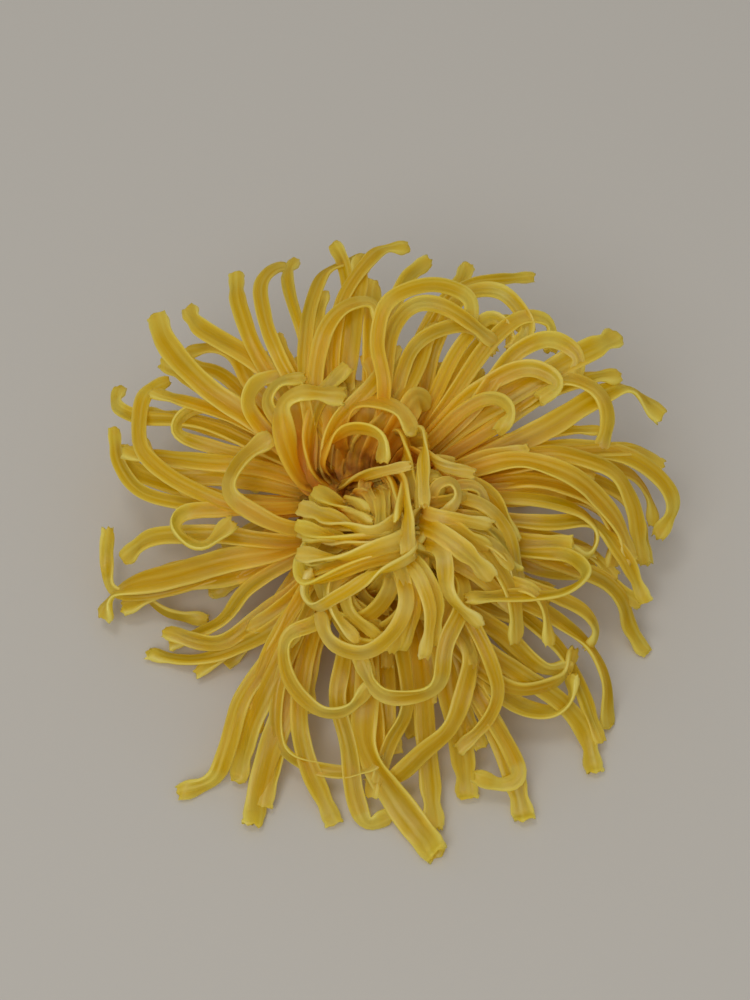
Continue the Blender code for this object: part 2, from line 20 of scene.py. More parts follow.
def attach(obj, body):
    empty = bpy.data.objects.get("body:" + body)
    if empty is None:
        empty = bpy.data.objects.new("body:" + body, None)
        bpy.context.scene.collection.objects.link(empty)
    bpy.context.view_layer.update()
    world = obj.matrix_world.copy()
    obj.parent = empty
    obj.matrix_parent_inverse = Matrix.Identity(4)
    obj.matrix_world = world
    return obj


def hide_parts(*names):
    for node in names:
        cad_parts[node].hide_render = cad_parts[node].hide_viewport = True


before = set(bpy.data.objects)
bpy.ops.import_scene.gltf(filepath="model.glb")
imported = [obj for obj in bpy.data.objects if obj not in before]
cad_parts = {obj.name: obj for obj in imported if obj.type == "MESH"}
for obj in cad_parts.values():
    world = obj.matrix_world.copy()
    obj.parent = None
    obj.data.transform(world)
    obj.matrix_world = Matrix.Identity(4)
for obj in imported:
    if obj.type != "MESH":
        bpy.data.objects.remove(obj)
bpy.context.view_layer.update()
MM = 0.001
print("nodes:", ", ".join(sorted(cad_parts)))

# %% [markdown]
# ## Working units
#
# A floret is a few millimetres wide, so the flower's lengths are written in millimetres and turned to
# Blender's metres when a mesh is made. Only the lamps are placed in metres. Colours are picked as sRGB hex
# values, the way that a colour picker shows them. A shader wants linear light, so one function turns them.

# %% Colour and node helpers
def linear(hex_colour):
    """An sRGB hex value as linear red, green, blue and alpha."""
    channels = [int(hex_colour[i:i + 2], 16) / 255 for i in (1, 3, 5)]
    return (*[c / 12.92 if c <= 0.04045 else ((c + 0.055) / 1.055) ** 2.4 for c in channels], 1.0)


def plug(node, *inputs):
    """Sets a node's inputs, given as (socket, value) pairs. A node or an output as the value is linked."""
    for socket, value in inputs:
        if isinstance(value, bpy.types.Node):
            value = next(output for output in value.outputs if output.enabled)
        if isinstance(value, bpy.types.NodeSocket):
            node.id_data.links.new(value, node.inputs[socket])
        else:
            node.inputs[socket].default_value = value


def add(tree, kind, *inputs, **settings):
    """Adds a node with its settings and its inputs."""
    node = tree.nodes.new("ShaderNode" + kind)
    for name, value in settings.items():
        setattr(node, name, value)
    plug(node, *inputs)
    return node


def ramp(node, stops):
    """Sets a Color Ramp's stops from (position, hex colour) pairs."""
    elements = node.color_ramp.elements
    while len(elements) < len(stops):
        elements.new(0.5)
    for element, (position, colour) in zip(elements, stops):
        element.position = position
        element.color = linear(colour)
    return node


def put_in_scene(name, data):
    """An object in the scene, with this mesh, lamp or camera."""
    made = bpy.data.objects.new(name, data)
    bpy.context.scene.collection.objects.link(made)
    return made


def start_finish(name):
    """A new material, with its node tree and its Principled shader."""
    made = bpy.data.materials.new(name)
    made.use_nodes = True
    return made, made.node_tree, made.node_tree.nodes["Principled BSDF"]


print("middle grey in linear light:", round(linear("#777777")[0], 3))

# %% [markdown]
# ## The camera
#
# The flower is seen from in front and well above, at 58 degrees. A camera is easiest to aim with a
# point that it looks at, a distance and an angle, so those are the numbers here, and the place and
# the turn follow from them. The lens is a little long, from 35 cm away, so that the near florets don't
# look too big.

# %% Camera
HEAD_AT = np.array([-2.4, 6.0, 0.0])  # floor point under the middle of the head
HEAD_MIDDLE = np.array([0.0, 0.0, 20.0])
HEAD_AXIS = np.array([0.12, -0.60, 0.79]) / np.linalg.norm([0.12, -0.60, 0.79])
AIM = Vector((0.5, 0.0, 22.0))  # from the floor point, what the camera looks at
DISTANCE = 346.6
LOOKS_DOWN = math.radians(58)
camera = put_in_scene("camera", bpy.data.cameras.new("camera"))
bpy.context.scene.camera = camera
camera.data.lens = 68  # in mm, on a 36 mm wide sensor
camera.data.sensor_width = 36
view = Vector((0, math.cos(LOOKS_DOWN), -math.sin(LOOKS_DOWN)))
camera.location = (Vector(HEAD_AT) + AIM - DISTANCE * view) * MM
camera.rotation_euler = view.to_track_quat("-Z", "Y").to_euler()
print("camera at", [round(x, 3) for x in camera.location])

# %% [markdown]
# ## Where the florets lie
#
# Each floret of this kind of chrysanthemum is a tube that dries flat, like a drinking straw pressed
# between two fingers. Its path is the thing that the eye knows it by: straight out from the middle, then
# over, down or round in a hook. A rule can't guess those paths, so they are listed, one
# floret a row: the width of its body, the width of its tip, and the places it passes through after its
# root, as x, y and height. They start with the florets on the left, which lie nearly flat and fan out.

# %% Florets on the left
LEFT = [
    (4.8, 5.8, (-24, 15, 28), (-32, 21, 30), (-39, 31, 29), (-41, 37, 28)),
    (3.0, 3.2, (-19, 15, 20), (-31, 24, 22), (-40, 32, 20)),
    (3.8, 3.6, (-21, 24, 31), (-33, 34, 30), (-35, 39, 28)),
    (3.6, 3.4, (-23, 23, 27), (-26, 29, 27), (-30, 32, 26), (-35, 33, 23)),
    (3.2, 3.6, (-20, 23, 32), (-25, 35, 34), (-26, 44, 32)),
    (2.8, 3.0, (-17, 21, 38), (-20, 30, 38), (-21, 39, 36), (-19, 45, 33), (-17, 48, 30)),
    (2.6, 4.0, (-13, 26, 39), (-16, 39, 38), (-15, 45, 35)),
    (3.2, 3.4, (-19, 10, 22), (-32, 17, 22), (-45, 20, 20), (-49, 23, 19), (-49, 28, 17)),
    (3.4, 3.0, (-24, -2, 23), (-38, 5, 23), (-43, 11, 22), (-44, 18, 22), (-43, 24, 22), (-40, 28, 20)),
    (3.0, 3.4, (-22, 14, 25), (-32, 19, 25), (-41, 23, 23)),
    (3.0, 2.8, (-16, 9, 20), (-29, 12, 21), (-37, 15, 22), (-36, 18, 23), (-30, 20, 24)),
    (3.0, 2.8, (-11, 7, 28), (-16, 9, 33), (-19, 12, 36), (-17, 15, 38), (-13, 16, 38)),
    (3.0, 2.8, (-15, 7, 26), (-20, 11, 29), (-23, 15, 32), (-21, 19, 33), (-16, 20, 33)),
    (3.0, 3.2, (-26, 0, 19), (-36, 2, 18), (-43, 5, 17), (-48, 12, 15), (-50, 21, 13)),
    (4.2, 4.8, (-21, 7, 22), (-32, 9, 21), (-46, 13, 18)),
    (3.4, 4.8, (-13, -7, 23), (-21, -5, 25), (-26, -1, 27), (-24, 4, 29), (-19, 8, 30)),
    (3.2, 4.4, (-24, -2, 22), (-35, -3, 22), (-36, -6, 22), (-31, -10, 22), (-26, -6, 23)),
    (3.4, 4.0, (-13, -6, 18), (-29, -5, 18), (-41, -4, 15), (-46, -5, 10)),
    (5.0, 6.0, (-14, -7, 17), (-25, -9, 16), (-36, -10, 12), (-48, -11, 7), (-50, -14, 4)),
    (2.4, 4.4, (-26, -9, 12), (-41, -12, 8), (-49, -10, 6), (-50, -5, 8), (-50, 0, 10)),
    (3.2, 3.0, (-15, -8, 16), (-32, -8, 12), (-40, -8, 9), (-43, -10, 6), (-39, -13, 3), (-32, -14, 2)),
    (3.4, 3.4, (-13, 3, 20), (-26, 6, 20), (-39, 8, 19), (-44, 15, 19)),
]
print(len(LEFT), "florets on the left")

# %% [markdown]
# Towards the viewer the head is tipped down, so the florets run down to the surface, and many of them
# end pressed against it.

# %% Florets in front
PRESSED = 0.35  # height of a tip that lies on the surface
LOWER_LEFT = [
    (3.4, 3.8, (-14, -9, 16), (-23, -13, 12), (-28, -17, 7), (-37, -19, 2)),
    (3.4, 3.8, (-11, -15, 15), (-19, -21, 10), (-25, -22, 6), (-32, -23, 3), (-41, -21, PRESSED)),
    (3.0, 3.4, (-13, -15, 12), (-25, -21, 5), (-32, -25, 2)),
    (3.8, 4.2, (-12, -17, 19), (-16, -26, 17), (-23, -35, 12), (-26, -43, 6), (-28.5, -47, 2.5),
     (-34, -48.6, 1.2)),
    (3.8, 4.4, (-11, -21, 18), (-18, -33, 14), (-22, -40, 8), (-24, -46, 2)),
    (4.4, 3.6, (-11, -22, 17), (-15, -36, 12), (-19, -45, 6), (-21, -54, PRESSED)),
    (3.2, 4.2, (-10, -25, 14), (-14, -34, 12), (-17, -43, 6), (-19, -51, 2)),
    (3.6, 4.4, (-12, -12, 14), (-20, -17, 10), (-28, -21, 6), (-38, -18, 4)),
    (3.2, 3.4, (-9, -26, 24), (-15, -29, 23), (-14, -36, 19), (-9, -40, 16), (-4, -40, 17), (-1, -37, 19)),
    (3.0, 3.0, (-13, -25, 18), (-17, -36, 13), (-16, -43, 8), (-10, -46, 6), (-4, -47, 6), (1, -46, 8)),
    (3.4, 4.4, (-11, -26, 17), (-13, -37, 12), (-12, -44, 8), (-9, -50, 3), (-7, -54, PRESSED)),
    (3.8, 5.0, (-5, -29, 18), (-6, -37, 14), (-4, -44, 9), (-3, -51, 4), (-0.8, -55, 1.2), (2.4, -53.6, 1.2)),
]
FRONT = [
    (3.2, 3.6, (12, -25, 25), (17, -31, 22), (16, -37, 19), (14, -42, 15), (9, -45, 10), (4, -48, 6),
     (0, -48, 3)),
    (3.0, 3.2, (5, -27, 18), (6, -38, 14), (3, -43, 9), (1, -48, 6)),
    (4.2, 4.8, (8, -26, 17), (9, -36, 12), (10, -45, 6), (11, -55, 2)),
    (4.6, 6.4, (-1, -35, 14), (-1, -44, 9), (4, -51, 3), (8, -56, PRESSED), (11, -60, PRESSED)),
    (4.0, 5.2, (15, -27, 18), (18, -34, 14), (22, -40, 9), (25, -46, 5), (27, -53, PRESSED)),
    (2.8, 3.8, (18, -35, 14), (24, -43, 9), (26, -48, 6), (23, -49, 5), (19, -48, 6)),
    (2.8, 2.8, (16, -25, 26), (19, -30, 24), (21, -34, 21), (22, -37, 17), (20, -40, 12), (16, -43, 8)),
    (4.6, 5.4, (12, -27, 18), (14, -36, 12), (16, -43, 6), (17, -49, PRESSED)),
    (3.2, 3.2, (16, -23, 30), (13, -32, 27), (11, -38, 22), (5, -39, 20), (1, -38, 20), (-2, -33, 22)),
    (3.6, 4.0, (-2, -27, 19), (0, -35, 14), (1, -42, 9), (0, -50, 4)),
]
LOWER_RIGHT = [
    (4.0, 5.0, (18, -28, 20), (26, -32, 15), (35, -35, 8), (39, -39, 3), (40, -44, PRESSED)),
    (3.0, 2.8, (14, -28, 20), (23, -34, 15), (28, -34, 13), (34, -31, 12), (36, -27, 13)),
    (3.2, 3.4, (16, -29, 18), (23, -35, 13), (28, -36, 9), (33, -36, 8), (36, -34, 9), (36, -31, 11)),
    (3.0, 3.4, (23, -20, 24), (32, -24, 21), (38, -26, 16), (42, -30, 10), (43, -35, PRESSED)),
    (2.6, 2.8, (26, -19, 25), (34, -22, 24), (38, -23, 21), (40, -25, 17), (39, -26, 15)),
    (3.0, 3.2, (22, -20, 28), (28, -23, 29), (30, -25, 26), (31, -29, 22)),
    (3.2, 3.4, (19, -16, 32), (24, -23, 29), (25, -27, 26), (25, -29, 23)),
    (3.2, 3.2, (27, -11, 22), (35, -13, 24), (38, -18, 26), (33, -23, 28), (25, -24, 29), (17, -25, 30)),
    (3.2, 3.8, (23, -8, 20), (34, -11, 18), (42, -13, 15), (46, -15, 11), (48, -17, 5), (51, -20, PRESSED)),
    (3.4, 3.0, (22, -8, 18), (32, -12, 17), (40, -12, 16), (45, -13, 12), (49, -14, 9)),
    (3.2, 3.0, (14, -22, 24), (23, -26, 19), (31, -30, 13), (35, -29, 12)),
    (3.4, 3.6, (17, -19, 26), (26, -23, 21), (34, -27, 14), (38, -32, 8), (41, -39, 3)),
]
print(len(LOWER_LEFT) + len(FRONT) + len(LOWER_RIGHT), "florets in front")

# %% [markdown]
# On the right they bow over and down in a bundle, and behind the middle they stand up and fold over.

# %% Florets on the right and at the back
RIGHT = [
    (3.0, 3.2, (30, -6, 24), (40, -5, 22), (45, -9, 19), (48, -12, 15), (50, -15, 12)),
    (4.2, 4.4, (17, 1, 30), (27, 2, 32), (35, 0, 31), (41, -2, 26), (45, -5, 21), (47, -9, 17)),
    (3.2, 3.6, (29, 5, 30), (38, 4, 30), (44, 2, 28), (47, -1, 24), (49, -4, 18), (50, -7, 13)),
    (3.4, 3.4, (23, 7, 26), (39, 8, 27), (47, 7, 26), (53, 5, 22), (56, 2, 17), (54, -1, 12)),
    (3.2, 3.8, (21, -2, 26), (30, -3, 27), (38, -4, 24), (41, -7, 21), (39, -11, 20), (36, -10, 21)),
    (3.6, 3.4, (20, 1, 25), (30, 1, 27), (40, -1, 24), (44, -5, 19), (44, -9, 15)),
    (3.2, 3.2, (22, -5, 20), (31, -7, 20), (39, -8, 18), (44, -11, 14)),
    (3.2, 3.6, (24, 7, 25), (34, 7, 27), (44, 8, 27), (49, 9, 25), (53, 8, 22)),
    (3.0, 3.0, (27, 7, 22), (40, 7, 23), (48, 7, 20), (52, 5, 15), (53, 2, 12)),
    (4.2, 4.6, (18, 6, 26), (31, 10, 30), (40, 15, 32), (47, 19, 31), (53, 16, 27)),
    (3.6, 3.4, (27, 15, 32), (35, 18, 35), (41, 16, 34), (43, 12, 31), (42, 8, 26)),
    (4.2, 5.4, (18, 12, 30), (33, 20, 35), (42, 25, 36), (45, 28, 34)),
]
UPPER_RIGHT = [
    (3.2, 3.0, (18, 13, 32), (27, 23, 37), (33, 25, 38), (38, 22, 36), (37, 19, 34)),
    (3.6, 3.6, (14, 12, 32), (20, 17, 34), (29, 19, 37), (34, 16, 36), (31, 14, 35)),
    (3.2, 3.4, (11, 8, 30), (16, 12, 33), (22, 13, 36), (25, 9, 37), (23, 7, 35)),
    (3.0, 2.8, (14, 15, 32), (22, 25, 37), (28, 30, 38), (33, 30, 36), (33, 26, 34)),
    (3.0, 3.0, (11, 15, 32), (16, 24, 37), (22, 30, 38), (25, 28, 37), (26, 25, 34)),
    (3.2, 3.2, (9, 17, 30), (12, 26, 36), (17, 34, 39), (24, 35, 39), (29, 28, 37), (26, 25, 35)),
    (3.0, 2.6, (7, 20, 28), (12, 32, 34), (17, 38, 36), (23, 41, 35), (30, 44, 32)),
    (3.0, 3.0, (4, 13, 36), (8, 23, 39), (14, 26, 40), (19, 27, 38), (22, 24, 36)),
    (3.2, 3.2, (2, 13, 38), (4, 25, 41), (8, 29, 43), (12, 29, 43), (17, 27, 41), (22, 25, 37)),
    (3.2, 3.4, (2, 13, 40), (1, 21, 43), (3, 28, 45), (11, 32, 45), (18, 31, 42), (18, 28, 39)),
]
TOP = [
    (3.2, 3.0, (-12, 13, 36), (-12, 25, 40), (-11, 32, 40), (-9, 40, 38), (-6, 44, 36), (-2, 47, 34)),
    (3.0, 4.0, (-7, 14, 34), (-6, 30, 40), (-4, 35, 41), (-1, 41, 40), (2, 46, 38), (6, 48, 36)),
    (3.2, 3.2, (-10, 13, 36), (-9, 23, 41), (-5, 29, 42), (0, 31, 41), (1, 29, 39)),
    (4.0, 4.0, (-13, 2, 26), (-16, 7, 34), (-16, 11, 37), (-13, 12, 39), (-6, 12, 38)),
    (3.8, 4.0, (-5, 11, 32), (-4, 25, 38), (-3, 35, 40), (-2, 43, 38)),
    (3.6, 3.8, (0, 13, 32), (0, 25, 37), (0, 37, 38)),
    (3.0, 4.0, (1, 19, 30), (3, 31, 35), (6, 39, 37), (10, 45, 35)),
    (3.0, 4.4, (5, 20, 28), (11, 33, 33), (16, 40, 34), (18, 46, 32)),
    (3.4, 3.6, (-6, 7, 32), (-4, 11, 36), (0, 11, 38), (5, 9, 38), (7, 6, 36)),
    (3.4, 3.8, (-9, 3, 31), (-5, 6, 36), (-1, 5, 38), (2, 3, 38), (2, 0, 36)),
    (3.4, 3.6, (-11, 3, 28), (-11, 10, 34), (-8, 14, 38), (-5, 17, 39)),
    (3.4, 3.6, (-9, 3, 28), (-7, 8, 34), (-2, 12, 38), (2, 17, 39), (4, 22, 38)),
    (3.4, 3.8, (-3, 7, 31), (2, 9, 35), (7, 16, 37), (11, 28, 37)),
    (3.2, 3.4, (-9, 11, 31), (-9, 19, 37), (-10, 26, 40), (-9, 34, 39)),
    (3.0, 4.2, (-4, 17, 30), (-4, 31, 36), (-5, 41, 37), (-7, 49, 35)),
]
print(len(RIGHT) + len(UPPER_RIGHT) + len(TOP), "florets on the right and at the back")

# %% [markdown]
# The crown is the knot of younger, shorter florets in the middle. They curl inwards over each other.

# %% Florets of the crown
CROWN = [
    (4.2, 4.4, (1, 1, 30), (5, -4, 36), (6, -11, 39), (6, -20, 38)),
    (3.4, 3.8, (5, 7, 31), (9, 6, 36), (9, -3, 39), (9, -11, 39)),
    (4.2, 4.6, (5, -13, 36), (0, -17, 38), (-6, -13, 36), (-12, -8, 32)),
    (4.2, 4.6, (5, -18, 36), (-1, -19, 37), (-6, -16, 35), (-12, -12, 31)),
    (4.0, 4.2, (5, -18, 38), (2, -20, 39), (-5, -21, 37), (-12, -18, 33)),
    (3.6, 3.6, (7, -21, 38), (0, -25, 38), (-6, -27, 34), (-10, -27, 30), (-12, -23, 29), (-11, -20, 30)),
    (3.0, 3.0, (-4, -20, 31), (-7, -23, 31), (-7, -27, 30), (-3, -31, 27)),
    (3.6, 3.6, (5, -22, 33), (6, -28, 34), (4, -32, 31), (-1, -34, 27), (-7, -31, 25), (-9, -26, 25)),
    (3.6, 4.0, (6, -20, 34), (8, -24, 36), (10, -29, 33), (9, -34, 27)),
    (3.8, 4.2, (9, -16, 34), (12, -20, 37), (13, -26, 34), (18, -29, 29)),
    (4.6, 5.0, (8, -12, 34), (12, -17, 38), (16, -20, 37), (20, -22, 33)),
    (3.4, 3.6, (8, -8, 33), (10, -13, 38), (14, -14, 38), (20, -13, 35)),
    (3.2, 3.4, (10, -9, 35), (11, -7, 38), (14, -6, 38), (15, -9, 37), (13, -11, 36)),
    (3.4, 3.6, (13, -6, 33), (20, -9, 34), (24, -12, 30), (26, -19, 25)),
    (3.0, 3.2, (12, -6, 32), (15, -5, 35), (19, -5, 34), (20, -7, 31)),
    (3.0, 3.2, (-6, 0, 26), (-3, -2, 32), (1, -3, 36), (6, -3, 38)),
    (3.2, 3.4, (-4, -7, 31), (0, -12, 34), (3, -18, 36)),
    (3.2, 3.4, (-2, -4, 32), (2, -11, 35), (4, -17, 36)),
    (3.2, 3.4, (9, 3, 34), (12, -2, 37), (17, -3, 36)),
    (3.4, 3.6, (14, -13, 33), (21, -16, 33), (24, -18, 30), (25, -22, 27)),
    (3.4, 3.6, (14, -18, 31), (19, -21, 30), (24, -24, 26)),
]
print(len(CROWN), "florets in the crown")

# %% [markdown]
# ## From a few places to a smooth path
#
# Blender's curves could carry the path, but their tilt is hard to steer in a tight hook. A
# Catmull-Rom curve passes through every place that it is given, and it is a few lines of arithmetic.
# The points are then spread evenly, so that the mesh has the same detail all along.

# %% A smooth path
def smooth_route(places, steps=16):
    """Points on a centripetal Catmull-Rom curve through the given places."""
    ends = [2 * places[0] - places[1], *places, 2 * places[-1] - places[-2]]
    route = []
    for before, start, end, after in zip(ends, ends[1:], ends[2:], ends[3:]):
        gap = [math.sqrt(np.linalg.norm(b - a)) for a, b in ((before, start), (start, end), (end, after))]
        leave = end - start + gap[1] * ((start - before) / gap[0] - (end - before) / (gap[0] + gap[1]))
        arrive = end - start + gap[1] * ((after - end) / gap[2] - (after - start) / (gap[1] + gap[2]))
        t = (np.arange(steps) / steps)[:, None]
        route.append((2 * t**3 - 3 * t**2 + 1) * start + (t**3 - 2 * t**2 + t) * leave
                     + (3 * t**2 - 2 * t**3) * end + (t**3 - t**2) * arrive)
    return np.concatenate([*route, places[-1][None]])


def evenly(route, spacing):
    """The route as points that lie about one spacing apart, and how far along each one is."""
    run = np.concatenate([[0], np.cumsum(np.linalg.norm(np.diff(route, axis=0), axis=1))])
    at = np.linspace(0, run[-1], max(8, round(run[-1] / spacing)) + 1)
    points = np.stack([np.interp(at, run, route[:, axis]) for axis in range(3)], axis=1)
    for _ in range(2):
        points[1:-1] = (points[:-2] + 2 * points[1:-1] + points[2:]) / 4
    return points, at


RIM_ROOTS, CROWN_ROOTS, CROWN_LIFT = 5.0, 2.5, 3.0


def root_of(first, ring):
    """Where a floret grows from: inside the receptacle, on the side that it leaves by."""
    out = first - HEAD_MIDDLE
    out = out - out.dot(HEAD_AXIS) * HEAD_AXIS
    lift = CROWN_LIFT if ring < RIM_ROOTS else 0.0
    return HEAD_MIDDLE + ring * out / np.linalg.norm(out) + lift * HEAD_AXIS


trial = np.array([root_of(np.array(LEFT[0][2]), RIM_ROOTS), *LEFT[0][2:]], float)
print("the first floret is", round(evenly(smooth_route(trial), 1.0)[1][-1], 1), "mm long")

# %% [markdown]
# ## Which way the flat side looks
#
# A pressed tube is a strap, and a strap bends easily over its flat side and hardly at all sideways.
# So where the path bends, the flat side turns into the bend, and where the path is straight, it looks
# up. Mixing those two wishes, with a small twist of its own for each floret, gives the way
# that dried florets turn and show now a broad side and now a thin edge. Groups that dried with their
# broad sides towards you get another direction than up, and two of them follow their bends less.

# %% The strap's own directions
UP = np.array([0.0, -0.3, 1.0])
SOFT_BEND = 0.15  # curvature, in 1/mm, at which a bend counts as much as the pull upwards


def unit(rows):
    return rows / np.maximum(np.linalg.norm(rows, axis=-1, keepdims=True), 1e-9)


def strap_directions(points, twist, up=UP, soft_bend=SOFT_BEND):
    """Unit vectors for each point: along the floret, across its flat side, and out of it."""
    along = unit(np.gradient(points, axis=0))
    spacing = np.linalg.norm(points[1] - points[0])
    bend = np.gradient(along, axis=0) / spacing
    outward = []
    now = up
    for direction, curve in zip(along, bend):
        sharp = np.linalg.norm(curve)
        curve = curve / max(sharp, 1e-9)
        share = sharp / (sharp + soft_bend)
        aim = now * 0.6 + (1 - share) * 0.4 * up + share * 0.5 * curve * (1 if now @ curve >= 0 else -1)
        now = aim - aim @ direction * direction
        now = now / np.linalg.norm(now)
        outward.append(now)
    outward = np.array(outward)
    for _ in range(8):
        outward[1:-1] = (outward[:-2] + 2 * outward[1:-1] + outward[2:]) / 4
    outward = unit(outward - (outward * along).sum(1, keepdims=True) * along)
    across = np.cross(along, outward)
    cosine, sine = np.cos(twist)[:, None], np.sin(twist)[:, None]
    return along, across * cosine - outward * sine, outward * cosine + across * sine


print("a bend of radius", round(1 / SOFT_BEND), "mm shares the flat side evenly")

# %% [markdown]
# ## The shape of one floret
#
# Cut across, a dried floret is a flattened tube: two round folded edges with a thinner film between
# them, a little hollow on one side, with a few pleats. At the end the tube opens again in a small
# toothed mouth, paler than the rest. All of it is one loft, ring after ring, and the last rings turn
# back into the mouth, so that it is hollow like the real one and yet one closed skin.

# %% Sizes of a floret, in mm
SIDES = 20
ROUND = 2 * math.pi * (np.arange(SIDES) + 0.5) / SIDES
SECTION_X = np.cos(ROUND)
SECTION_Y = np.sign(np.sin(ROUND)) * np.abs(np.sin(ROUND)) ** 0.8
RING_SPACING = 0.9
ROOT_WIDTH = 2.0
PLUMP = 0.95  # how wide the finished floret is against the plain strap
FILM = 1.15  # thickness of the strap over its folded edges
PLEAT = 0.2
WIDE_FROM = 0.5  # share of the length after which the floret has its full width
TIP_FROM, TIP_SHARE = 0.67, 0.33  # share of the length where the tip's width begins, and the rest
NECK = 3.6  # how far behind the mouth the tube is narrowest
PUFFED_END = 2.4  # the last mm of the tube that didn't fall flat
WANDER = 0.16  # how far the path strays to either side
LEAST_HEIGHT = 0.05  # how far the skin stays above the surface it lies on
print("a ring every", RING_SPACING, "mm, of", SIDES, "points")

# %% Path of a floret
def waves(draw, at, longest, size):
    """A slow seeded wander along the floret, as a sum of three sines."""
    total = 0
    for part in (1, 2, 3):
        total = total + np.sin(2 * math.pi * (at * part / longest + draw.random())) / part
    return size * total / 1.8


def strap_path(places, ring, draw, spacing, facing):
    """Points along a floret, mm from the root, how free it is there, and the strap's directions."""
    points, at = evenly(smooth_route([root_of(places[0], ring), *places]), spacing)
    length = at[-1]
    free = np.minimum(1, np.minimum(at / 8, (length - at) / 4 + 0.25))
    twist = free * waves(draw, at, 60, 0.22) + draw.uniform(-0.12, 0.12)
    twist = twist + (at / length) ** 3 * draw.uniform(-0.6, 0.6)
    along, across, outward = strap_directions(points, twist, *facing)
    points = points + (free * waves(draw, at, 34, WANDER))[:, None] * across
    points = points + (free * waves(draw, at, 30, WANDER))[:, None] * outward
    return points, at, free, along, across, outward


# %% [markdown]
# Past the body come the seven rings of the mouth. Three lead out to its teeth, a fourth rounds the rim,
# and three go back down inside.

# %% Mouth of a floret
DEPTH_IN_MOUTH = np.array([0.3, 0.7, 1.0, 1.5, 2.0, 3.0, 4.0])  # mm from the body's end, about


def floret_mouth(end, along, across, outward, half, phase, draw):
    """The rings of the mouth past the end of a body of this half width."""
    opened = draw.uniform(0.45, 0.75)
    flare = draw.uniform(0.78, 1.1)
    tooth = draw.uniform(0.2, 0.8) * (0.5 + 0.5 * np.cos(draw.choice((3, 4, 5)) * ROUND + phase)) ** 1.4
    tooth = tooth + np.array([draw.uniform(-0.15, 0.15) for _ in ROUND])
    ragged = 1 + 0.08 * np.sin(3 * ROUND + phase) + np.array([draw.uniform(-0.07, 0.07) for _ in ROUND])
    mouth = []
    for ahead, toothed, size, deep in (  # mm ahead, share of the teeth, size and depth against the body
        (0.35, 0.0, 0.5 + 0.5 * flare, 1.0), (0.6, 0.5, flare, 1.0), (0.72, 1.0, 0.98 * flare, 1.0),
        (0.62, 0.9, 0.82 * flare, 0.8), (0.1, 0.3, 0.62, 0.62), (-0.7, 0.0, 0.45, 0.4),
        (-1.2, 0.0, 0.25, 0.25),
    ):
        lip_x = half * size * ragged * np.cos(ROUND)
        lip_y = half * opened * size * deep * ragged * np.sin(ROUND)
        forward = ahead + toothed * tooth
        mouth.append(end + lip_x[:, None] * across + lip_y[:, None] * outward + forward[:, None] * along)
    return mouth


print("rings in a mouth:", len(DEPTH_IN_MOUTH))

# %% One floret as rings of points
def floret_rings(row, ring, draw, spacing=RING_SPACING, facing=(UP, SOFT_BEND)):
    """A floret's rings in mm, with each point's share across, mm from the root, mm to the tip and bend."""
    width, tip_width, *places = row
    places = [np.array(place, float) for place in places]
    points, at, free, along, across, outward = strap_path(places, ring, draw, spacing, facing)
    length = at[-1]
    share = at / length
    to_tip = length - at
    grown = np.minimum(1, share / WIDE_FROM)
    flared = np.clip((share - TIP_FROM) / TIP_SHARE, 0, 1)
    plump = PLUMP * draw.uniform(0.86, 1.12)
    wide = ROOT_WIDTH + (plump * width - ROOT_WIDTH) * grown + plump * 0.5 * (tip_width - width) * flared
    wide = wide * (1 + waves(draw, at, 17, 0.05))
    pinch = draw.uniform(0.05, 0.32)
    wide = wide * (1 - pinch * np.exp(-(((to_tip - NECK) / 1.6) ** 2))) * (1 - 0.12 * np.exp(-to_tip / 0.6))
    puffed = np.exp(-((to_tip / PUFFED_END) ** 2)) * draw.uniform(0.5, 1.0)
    film = FILM * (1 + waves(draw, at, 13, 0.2)) * (1 + puffed)
    hollow = waves(draw, at, 40, 0.12) + draw.uniform(-0.08, 0.12)
    pleat = PLEAT * free * (1 + waves(draw, at, 23, 0.5))
    pleats = draw.choice((2, 3, 3, 4))
    phase = draw.uniform(0, 2 * math.pi)
    dent = (0.6 + waves(draw, at, 21, 0.15)) * (1 - puffed)
    body = []
    for i in range(len(points)):
        x = 0.5 * wide[i] * SECTION_X
        y = 0.5 * film[i] * SECTION_Y * (1 - dent[i] * (1 - SECTION_X**2))
        y = y + hollow[i] * wide[i] * (SECTION_X**2 - 0.4)
        y = y + pleat[i] * np.cos(pleats * math.pi * SECTION_X + phase) * (1 - SECTION_X**4)
        body.append(points[i] + x[:, None] * across[i] + y[:, None] * outward[i])
    mouth = floret_mouth(points[-1], along[-1], across[-1], outward[-1], 0.5 * wide[-1], phase, draw)
    rings = np.array(body + mouth) + HEAD_AT
    sunk = np.maximum(0, LEAST_HEIGHT - rings[:, :, 2].min(1))
    rings[:, :, 2] += np.maximum.accumulate(sunk[::-1])[::-1][:, None] if sunk[-1] else sunk[:, None]
    marks = np.zeros((*rings.shape[:2], 4))
    marks[:, :, 0] = SECTION_X
    marks[: len(at), :, 1] = at[:, None]
    marks[: len(at), :, 2] = to_tip[:, None]
    marks[: len(at), :, 3] = (np.linalg.norm(np.gradient(along, axis=0), axis=1) / (at[1] - at[0]))[:, None]
    marks[len(at):, :, 1] = length
    marks[len(at):, :, 2] = -DEPTH_IN_MOUTH[:, None]
    return rings, marks


rings, _ = floret_rings(LEFT[0], RIM_ROOTS, random.Random(1))
print("rings by points by axes in one floret:", rings.shape)

# %% [markdown]
# ## Many florets in one mesh
#
# One object for each floret would make a crowded scene, so the florets of a region share a mesh. The
# rings are joined with four-sided faces, and each end is closed. Every point also remembers where on
# its floret it is, in an attribute, so that the finish can change from root to tip. A texture map gives
# every floret its own strip of the picture, laid in a grid, for anyone who wants to bake the finish.

